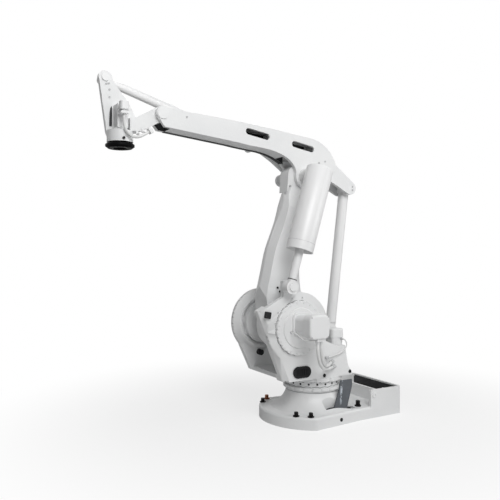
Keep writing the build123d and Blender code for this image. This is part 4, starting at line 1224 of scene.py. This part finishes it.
@dataclass
class RotatingFrame:
    """Turntable, walls, gear units, covers and the three big motors."""

    shoulder: Pair = (0.300, 0.8145)
    wall_face: float = 0.236
    cover_face: float = 0.262
    far_cover_face: float = -0.422
    cover_screw: HeadShape = HeadShape(0.0075, 0.005)
    cover_screw_reach: float = 0.208
    cover_screw_count: int = 20
    cover_screw_start: float = 9.0
    near_cap_face: float = 0.5242
    far_cap_face: float = -0.6842
    cap_half: float = 0.078
    cap_screw: HeadShape = HeadShape(0.006, 0.003)
    motor_x: float = 0.295
    motor_z: float = 0.850
    neck_reach: float = 0.2318
    # Black discs painted as the shade inside the neck's holes.
    neck_hole_shade: HeadShape = HeadShape(0.0085, 0.002)
    hole_height: float = 0.318
    hole_count: int = 20
    hole_start: float = 12.0
    flange_bolt: HeadShape = HeadShape(0.011, 0.012, True)
    flange_under: float = 0.342
    flange_reach: float = 0.243
    flange_bolt_count: int = 12
    flange_bolt_start: float = 15.0
    wall_plug: HeadShape = HeadShape(0.0155, 0.003)
    wall_plugs: Outline = ((0.039, 0.395), (-0.235, 0.403))
    wall_screw: HeadShape = HeadShape(0.007, 0.005)
    wall_screws: Outline = (
        (0.504, 0.949), (0.464, 0.922), (0.533, 0.864), (0.265, 1.062), (0.288, 1.032),
        (0.364, 1.060),
    )
    lip_cut: SidePlate = SidePlate(
        ((0.360, 0.430), (0.720, 0.430), (0.720, 1.200), (0.360, 1.200)), 0.095, 0.141
    )
    horn_cut: SidePlate = SidePlate((
        (0.4494, 1.0742), (0.6600, 0.9670), (0.7200, 0.9500), (0.7200, 1.2500), (0.4494, 1.2500),
    ), 0.130, 0.240)
    # Dark rings as painted shade: the shadow under the lobed flange, shade along the neck's lobed
    # edge, and the cover's joint line, darkened partly by painted shade.
    shade_rings: tuple[ShadeRing, ...] = (
        ShadeRing("neck_joint", (0, 0, 0.2905), (0.0, 0.0, 1.0), 0.2318, 0.0030, 0.0012, 0.007, True),
        ShadeRing("flange_seal", (0, 0, 0.335), (0.0, 0.0, 1.0), 0.2318, 0.0050, 0.0040, 0.005, True),
        ShadeRing("cover_joint", (0.300, 0.236, 0.8145), (0, 1, 0), 0.2215, 0.0034, 0.0008, 0.005,
             False),
    )

    def dress(self, wardrobe: Wardrobe, fixings: Fixings) -> None:
        """Paints the frame and adds its dark rings of painted shade under the flange, along the neck
        and round the cover's joint, and its screws.

        Args:
            wardrobe: Where finishes come from.
            fixings: What places the screws.
        """
        wardrobe.dress(Finish.CASTING, "turntable", "shoulder_gear_unit", "link_gear_unit")
        wardrobe.dress(Finish.MACHINED, "shoulder_cover", "link_cover", "shoulder_motor",
                       "shoulder_motor_cap", "link_motor", "link_motor_cap", "slew_motor",
                       "slew_motor_cap", "terminal_box_near", "terminal_box_far")
        wardrobe.dress(Finish.VENT, "vent_cover")
        wardrobe.dress(Finish.RUBBER, "bump_stop", "far_damper")
        wardrobe.dress(Finish.MACHINED, "balance_pin", "anchor_pin")
        wardrobe.dress(Finish.GLAND, "cable_glands", "far_cable_glands")
        Carving("frame_casting", "frame", Finish.CASTING).cut(
            wardrobe, [self.lip_cut.mesh(), self.horn_cut.mesh()]
        )
        for shade_ring in self.shade_rings:
            solid_piece(shade_ring.name, shade_ring.mesh(), "frame", Finish.LINING, wardrobe)
        self._cover_screws(fixings)
        self._turntable_screws(fixings)
        self._cap_screws(fixings)
        self._wall_marks(fixings)

    def _cover_screws(self, fixings: Fixings) -> None:
        """Adds the painted socket screws round both shoulder covers.

        Args:
            fixings: What places the screws.
        """
        for name, face, side in (
            ("near_cover_screws", self.cover_face, 1),
            ("far_cover_screws", self.far_cover_face, -1),
        ):
            fixings.round_ring(name, "frame", self.cover_screw, Finish.MACHINED,
                               (self.shoulder[0], face, self.shoulder[1]),
                               self.cover_screw_reach, self.cover_screw_count,
                               axis=(0, side, 0), start=self.cover_screw_start)

    def _turntable_screws(self, fixings: Fixings) -> None:
        """Adds black discs as painted shade inside the holes round the neck, and the bolts under the
        lobed flange.

        Args:
            fixings: What places the holes and bolts.
        """
        fixings.round_ring("neck_holes", "frame", self.neck_hole_shade, Finish.VENT,
                           (0, 0, self.hole_height), self.neck_reach, self.hole_count, tilt=90,
                           start=self.hole_start)
        fixings.round_ring("flange_bolts", "frame", self.flange_bolt, Finish.CASTING,
                           (0, 0, self.flange_under), self.flange_reach, self.flange_bolt_count,
                           axis=(0, 0, -1), start=self.flange_bolt_start)

    def _cap_screws(self, fixings: Fixings) -> None:
        """Adds the corner screws of the two big motors' end caps.

        Args:
            fixings: What places the screws.
        """
        corners = [(i, j) for i in (-1, 1) for j in (-1, 1)]
        for name, face, turn in (
            ("near_cap_screws", self.near_cap_face, FACING_LEFT),
            ("far_cap_screws", self.far_cap_face, FACING_RIGHT),
        ):
            fixings.at_points(name, "frame", self.cap_screw, Finish.GLAND, [
                (self.motor_x + i * self.cap_half, face, self.motor_z + j * self.cap_half)
                for i, j in corners
            ], turn)

    def _wall_marks(self, fixings: Fixings) -> None:
        """Adds the black plugs and small painted screws of the near wall.

        Args:
            fixings: What places them.
        """
        for name, head, finish, places in (
            ("wall_plugs", self.wall_plug, Finish.VENT, self.wall_plugs),
            ("wall_screws", self.wall_screw, Finish.GLAND, self.wall_screws),
        ):
            fixings.at_points(name, "frame", head, finish,
                              [(x, self.wall_face, z) for x, z in places], FACING_LEFT)


@dataclass
class Arms:
    """Lower arm, elbow, lever, upper arm, crank and rods."""

    arm_face: float = 0.100
    arm_screw: HeadShape = HeadShape(0.008, 0.005)
    arm_screws: Outline = (
        (1.239, 2.472), (-0.005, 2.211), (-0.070, 2.228), (-0.376, 2.023), (-0.376, 1.995),
    )
    lower_face: float = 0.090
    lower_screw: HeadShape = HeadShape(0.009, 0.006)
    lower_screws: Outline = ((0.414, 1.141), (0.393, 1.108))
    slots: tuple[tuple[Pair, Pair], ...] = (
        ((0.6960, 2.4165), (0.5230, 2.3890)),
        ((0.2490, 2.3528), (0.0735, 2.3226)),
    )
    slot_half: float = 0.0265
    slot_near: float = 0.075
    slot_far: float = 0.112
    link_pin: Pair = (0.5342, 2.3351)
    link_layer: float = -0.135
    bar_half: float = 0.013
    bar_edge: float = 0.002
    bar_stations: tuple[Point, ...] = (
        (0.045, -0.016, 0.022), (0.160, -0.012, 0.034), (0.560, -0.006, 0.044),
        (-0.300, -0.008, 0.036), (-0.075, -0.016, 0.018),
    )
    underside: Outline = (
        (0.285, 2.2050), (0.300, 2.2152), (0.375, 2.2534), (0.450, 2.2760), (0.525, 2.2891),
        (0.600, 2.2968), (0.675, 2.3031), (0.750, 2.3113), (0.825, 2.3213), (1.365, 2.3754),
    )
    # The underside sheet and the sheets below are painted shade under and inside the upper arm, not
    # parts.
    underside_shade_thick: float = 0.003
    underside_shade_near: float = -0.098
    underside_shade_far: float = -0.056
    shade_sheets: tuple[tuple[str, SidePlate], ...] = (
        ("arm_mouth", SidePlate((
            (1.3608, 2.3765), (1.3188, 2.5190), (1.3208, 2.5190), (1.3630, 2.3775),
        ), -0.0655, 0.0655)),
        ("fork_lining", SidePlate((
            (1.3635, 2.3785), (1.4100, 2.3820), (1.4700, 2.4500), (1.4600, 2.4700),
            (1.4000, 2.5000), (1.3230, 2.5150),
        ), -0.0655, -0.064)),
        ("throat_lining", SidePlate((
            (0.3650, 2.2560), (0.3000, 2.2230), (0.2650, 2.2000), (0.2650, 2.4000),
            (0.3550, 2.4100),
        ), -0.0655, -0.064)),
        ("front_slot_back", SidePlate((
            (0.4500, 2.2900), (0.7500, 2.3360), (0.7500, 2.4600), (0.4500, 2.4330),
        ), -0.0798, -0.0783)),
        ("rear_slot_back", SidePlate((
            (0.0300, 2.2700), (0.2900, 2.3100), (0.3000, 2.4050), (0.0300, 2.3750),
        ), -0.0798, -0.0783)),
        ("throat_roof", SidePlate((
            (0.2450, 2.4180), (0.3500, 2.4180), (0.3500, 2.4160), (0.2450, 2.4160),
        ), -0.0655, 0.0655)),
    )

    def dress(self, wardrobe: Wardrobe, fixings: Fixings) -> None:
        """Paints the arms and adds their bar, dark sheets of painted shade and screws.

        Args:
            wardrobe: Where finishes come from.
            fixings: What places the screws.
        """
        wardrobe.dress(Finish.CASTING, "lower_arm", "link_lever", "parallel_crank")
        Carving("upper_arm", "upper_arm", Finish.CASTING).cut(wardrobe, [
            prism(capsule(first, last, self.slot_half), self.slot_near, self.slot_far)
            for first, last in self.slots
        ])
        wardrobe.dress(Finish.MACHINED, "elbow_nut", "wrist_caps")
        wardrobe.dress(Finish.TUBE, "parallel_rod", "upper_link_rod", "lower_link_rod")
        wardrobe.dress(Finish.MACHINED, "elbow_shaft", "crank_shaft", "crank_pin", "tail_pin",
                       "wrist_shaft", "lever_front_pin", "lever_rear_pin")
        self._link_bar(wardrobe)
        self._shade_sheets(wardrobe)
        for name, body, head, finish, face, places in (
            ("upper_arm_screws", "upper_arm", self.arm_screw, Finish.GLAND, self.arm_face,
             self.arm_screws),
            ("lower_arm_screws", "lower_arm", self.lower_screw, Finish.BOLT, self.lower_face,
             self.lower_screws),
        ):
            fixings.at_points(name, body, head, finish, [(x, face, z) for x, z in places],
                              FACING_LEFT)

    def _shade_sheets(self, wardrobe: Wardrobe) -> None:
        """Adds dark sheets as painted shade under and inside the upper arm, in its mouth and behind
        its slots.

        Args:
            wardrobe: Where finishes come from.
        """
        lowered = tuple((x, z - self.underside_shade_thick) for x, z in reversed(self.underside))
        underside_shade = SidePlate(self.underside + lowered, self.underside_shade_near, self.underside_shade_far)
        for name, sheet in (("arm_channel", underside_shade), *self.shade_sheets):
            solid_piece(name, sheet.mesh(), "upper_arm", Finish.LINING, wardrobe)

    def _link_bar(self, wardrobe: Wardrobe) -> None:
        """Adds the flat bar that stiffens the upper link's round rod.

        A station is a distance along the link, then the bar's lower and upper edge there. A distance
        below 0 is counted back from the link's pin.

        Args:
            wardrobe: Where finishes come from.
        """
        low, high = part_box("upper_link_rod")
        eye = self.link_pin[0] - low[0]
        wrist = Vector((high[0] - eye, high[2] - eye))
        along = Vector(self.link_pin) - wrist
        length = along.length
        along.normalize()
        across = Vector((-along.y, along.x))
        if across.y < 0:
            across.negate()
        steps = [step if step > 0 else length + step for step, _, _ in self.bar_stations]
        under = [(step, edges[1]) for step, edges in zip(steps, self.bar_stations)]
        over = [(step, edges[2]) for step, edges in zip(steps, self.bar_stations)]
        outline = [
            tuple(wrist + along * step + across * rise) for step, rise in (*under, *reversed(over))
        ]
        bar = prism(outline, self.link_layer - self.bar_half, self.link_layer + self.bar_half)
        solid_piece("upper_link_bar", bar, "upper_link_rod", Finish.CASTING, wardrobe,
                    soften=self.bar_edge)


@dataclass
class Balancer:
    """Spring balancer between the elbow and the frame."""

    elbow: Point = (0.1429, 0.300, 2.0848)
    foot: Point = (0.4258, 0.300, 1.1582)
    top: float = 0.052
    dome: Outline = (
        (0.0, 0.0), (0.094, 0.001), (0.105, 0.005), (0.1125, 0.013), (0.1135, 0.013),
    )
    cut_top: float = 0.140
    seal: Outline = ((0.034, 0.061), (0.0375, 0.061), (0.0375, 0.066), (0.034, 0.066))
    joint: Outline = ((0.111, -0.594), (0.1124, -0.594), (0.1124, -0.591), (0.111, -0.591))

    def dress(self, wardrobe: Wardrobe) -> None:
        """Paints the cylinder and its rod, lowers the cylinder's top and adds seal and joint.

        The dome's corners are a radius and a drop below the top.

        Args:
            wardrobe: Where finishes come from.
        """
        wardrobe.dress(Finish.TUBE, "balance_rod")
        away = tuple(Vector(self.elbow) - Vector(self.foot))
        profile = [(reach, self.top - drop) for reach, drop in self.dome]
        profile += [(self.dome[-1][0], self.cut_top), (0.0, self.cut_top)]
        Carving("balance_cylinder", "balance_cylinder", Finish.TUBE).cut(
            wardrobe, [lathe(profile, self.elbow, away)]
        )
        solid_piece("rod_seal", lathe(self.seal, self.foot, away), "balance_rod", Finish.LINING,
                    wardrobe)
        solid_piece("cylinder_joint", lathe(self.joint, self.elbow, away), "balance_cylinder",
                    Finish.GLAND, wardrobe)


@dataclass
class Wrist:
    """Tilt housing, tool motor, flange, and the hose's connector."""

    flange: Point = (1.73222, 0.0, 2.204)
    flange_bevels: tuple[Outline, ...] = (
        ((0.080, 0.0449), (0.113, 0.024), (0.113, 0.0449)),
        ((0.088, -0.001), (0.113, 0.018), (0.113, -0.001)),
    )
    motor_cuts: tuple[SidePlate, ...] = (
        SidePlate(((1.766, 2.350), (1.800, 2.350), (1.800, 2.600), (1.766, 2.600)),
                  -0.060, 0.060),
        SidePlate(((1.660, 2.526), (1.800, 2.526), (1.800, 2.600), (1.660, 2.600)),
                  -0.061, 0.061),
    )
    # A dark strip on the plate beside the motor: the motor's painted shadow.
    plate_slot: SidePlate = SidePlate((
        (1.776, 2.372), (1.797, 2.372), (1.795, 2.470), (1.789, 2.508), (1.779, 2.524),
        (1.775, 2.505),
    ), -0.056, -0.0535)
    skirt: SidePlate = SidePlate(
        ((1.708, 2.436), (1.766, 2.436), (1.766, 2.457), (1.708, 2.457)), 0.062, 0.137
    )
    skirt_edge: float = 0.003
    plate_face: float = -0.0553
    plate_screw: HeadShape = HeadShape(0.008, 0.004)
    plate_screws: Outline = ((1.818, 2.685), (1.800, 2.689), (1.794, 2.589), (1.794, 2.644))
    house_bolt: HeadShape = HeadShape(0.011, 0.014, True)
    house_bolt_place: Point = (1.7345, 0.094, 2.268)

    def dress(self, wardrobe: Wardrobe, fixings: Fixings) -> None:
        """Paints the wrist, trims its motor and flange, and adds its marks (the motor's painted
        shadow on the plate and the connector's skirt) and screws.

        Args:
            wardrobe: Where finishes come from.
            fixings: What places the screws.
        """
        wardrobe.dress(Finish.CASTING, "tilt_house")
        wardrobe.dress(Finish.MACHINED, "wrist_connector")
        Carving("tool_motor", "tilt_house", Finish.MACHINED).cut(
            wardrobe, [cut.mesh() for cut in self.motor_cuts]
        )
        Carving("tool_flange", "tool_flange", Finish.FLANGE).cut(
            wardrobe, [lathe(bevel, self.flange, (0, 0, 1)) for bevel in self.flange_bevels]
        )
        solid_piece("plate_slot", self.plate_slot.mesh(), "tilt_house", Finish.LINING, wardrobe)
        solid_piece("connector_skirt", self.skirt.mesh(), "tilt_house", Finish.MACHINED, wardrobe,
                    soften=self.skirt_edge)
        wardrobe.dress(Finish.MACHINED, "tilt_pin", "hose_brackets")
        fixings.at_points("plate_screws", "tilt_house", self.plate_screw, Finish.GLAND,
                          [(x, self.plate_face, z) for x, z in self.plate_screws], FACING_LEFT)
        fixings.at_points("house_bolt", "tilt_house", self.house_bolt, Finish.BOLT,
                          [self.house_bolt_place], FACING_LEFT)


@dataclass(frozen=True)
class Lamp:
    """A square studio light that faces a target."""

    name: str
    place: Point
    target: Point
    size: float
    watts: float

    def hang(self) -> None:
        """Makes the light."""
        data = bpy.data.lights.new(self.name, "AREA")
        data.shape, data.size, data.energy = "SQUARE", self.size, self.watts
        lamp = bpy.data.objects.new(self.name, data)
        lamp.location = self.place
        aim = Vector(self.target) - Vector(self.place)
        lamp.rotation_euler = aim.to_track_quat("-Z", "Y").to_euler()
        bpy.context.scene.collection.objects.link(lamp)


@dataclass
class Studio:
    """Pale floor, soft lights, white surround and the camera."""

    floor_half: float = 14.0
    camera_place: Point = (3.0704, 4.2839, 1.4551)
    camera_yaw: float = 150.305
    lens: float = 42.77
    sensor: float = 36.0
    fill: float = 0.14
    floor_colour: Colour = (0.82, 0.82, 0.82)
    floor_rough: float = 0.9
    glow: float = 0.72
    glow_rise: float = 0.28
    glow_span: Pair = (1.0, 3.2)
    lamps: tuple[Lamp, ...] = (
        Lamp("key_light", (1.7, 5.4, 5.4), (0.3, 0, 1.3), 3.5, 298.0),
        Lamp("top_light", (-0.6, 0.6, 6.2), (0.5, 0, 1.0), 3.0, 45.0),
        Lamp("right_light", (-4.6, 3.6, 2.6), (0.3, 0, 1.2), 2.5, 60.0),
    )

    def build(self) -> None:
        """Sets the stage."""
        self._floor()
        self._surround()
        for lamp in self.lamps:
            lamp.hang()
        self._camera()
        bpy.context.scene.view_settings.view_transform = "Standard"

    def _floor(self) -> None:
        """Pale floor that keeps a soft shadow and whitens towards the horizon."""
        mesh = bpy.data.meshes.new("studio_floor")
        half = self.floor_half
        mesh.from_pydata([(-half, -half, 0), (half, -half, 0), (half, half, 0), (-half, half, 0)],
                         [], [(0, 1, 2, 3)])
        bench = ShaderBench("pale_floor")
        bench.surface.inputs["Base Color"].default_value = (*self.floor_colour, 1)
        bench.surface.inputs["Roughness"].default_value = self.floor_rough
        ray = bench.node("ShaderNodeLightPath", {}, {})
        away = (bench.axis("X") ** 2.0 + bench.axis("Y") ** 2.0) ** 0.5
        white = bench.node("ShaderNodeEmission", {}, {"Color": (1.0, 1.0, 1.0), "Strength": 1.0})
        seen = Channel(bench, ray.outputs["Is Camera Ray"])
        share = seen * (self.glow + away.ramp(*self.glow_span) * self.glow_rise)
        mixed = bench.node("ShaderNodeMixShader", {}, {0: share})
        bench.feed(mixed.inputs[1], bench.surface.outputs[0])
        bench.feed(mixed.inputs[2], white.outputs[0])
        bench.feed(bench.output.inputs["Surface"], mixed.outputs[0])
        mesh.materials.append(bench.material)
        floor = bpy.data.objects.new("studio_floor", mesh)
        bpy.context.scene.collection.objects.link(floor)

    def _surround(self) -> None:
        """World that is white to the camera and dim grey to the object."""
        world = bpy.data.worlds.new("studio_surround")
        world.use_nodes = True
        tree = world.node_tree
        tree.nodes.clear()
        out = tree.nodes.new("ShaderNodeOutputWorld")
        back = tree.nodes.new("ShaderNodeBackground")
        back.inputs["Color"].default_value = (1.0, 1.0, 1.0, 1.0)
        ray = tree.nodes.new("ShaderNodeLightPath")
        seen: bpy.types.NodeSocket = ray.outputs["Is Camera Ray"]
        for kind in ("Is Glossy Ray", "Is Transmission Ray"):
            either = tree.nodes.new("ShaderNodeMath")
            either.operation = "MAXIMUM"
            tree.links.new(seen, either.inputs[0])
            tree.links.new(ray.outputs[kind], either.inputs[1])
            seen = either.outputs[0]
        strength = tree.nodes.new("ShaderNodeMapRange")
        strength.inputs["To Min"].default_value = self.fill
        strength.inputs["To Max"].default_value = 1.0
        tree.links.new(seen, strength.inputs["Value"])
        tree.links.new(strength.outputs["Result"], back.inputs["Strength"])
        tree.links.new(back.outputs[0], out.inputs["Surface"])
        bpy.context.scene.world = world

    def _camera(self) -> None:
        """Camera at the photograph's place."""
        data = bpy.data.cameras.new("photo_camera")
        data.lens, data.sensor_width = self.lens, self.sensor
        camera = bpy.data.objects.new("photo_camera", data)
        camera.location = self.camera_place
        camera.rotation_euler = (math.pi / 2, 0.0, math.radians(self.camera_yaw))
        bpy.context.scene.collection.objects.link(camera)
        bpy.context.scene.camera = camera


def main() -> None:
    """Loads the frame, dresses every sub-assembly and sets the studio."""
    logging.basicConfig(level=logging.INFO, format="%(name)s: %(message)s")
    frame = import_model()
    wardrobe = Wardrobe(frame["nodes"])
    fixings = Fixings(wardrobe)
    Studio().build()
    for tube in TUBES:
        tube.lay(wardrobe)
    Base().dress(wardrobe, fixings)
    RotatingFrame().dress(wardrobe, fixings)
    Arms().dress(wardrobe, fixings)
    Balancer().dress(wardrobe)
    Wrist().dress(wardrobe, fixings)


if __name__ == "__main__":
    main()
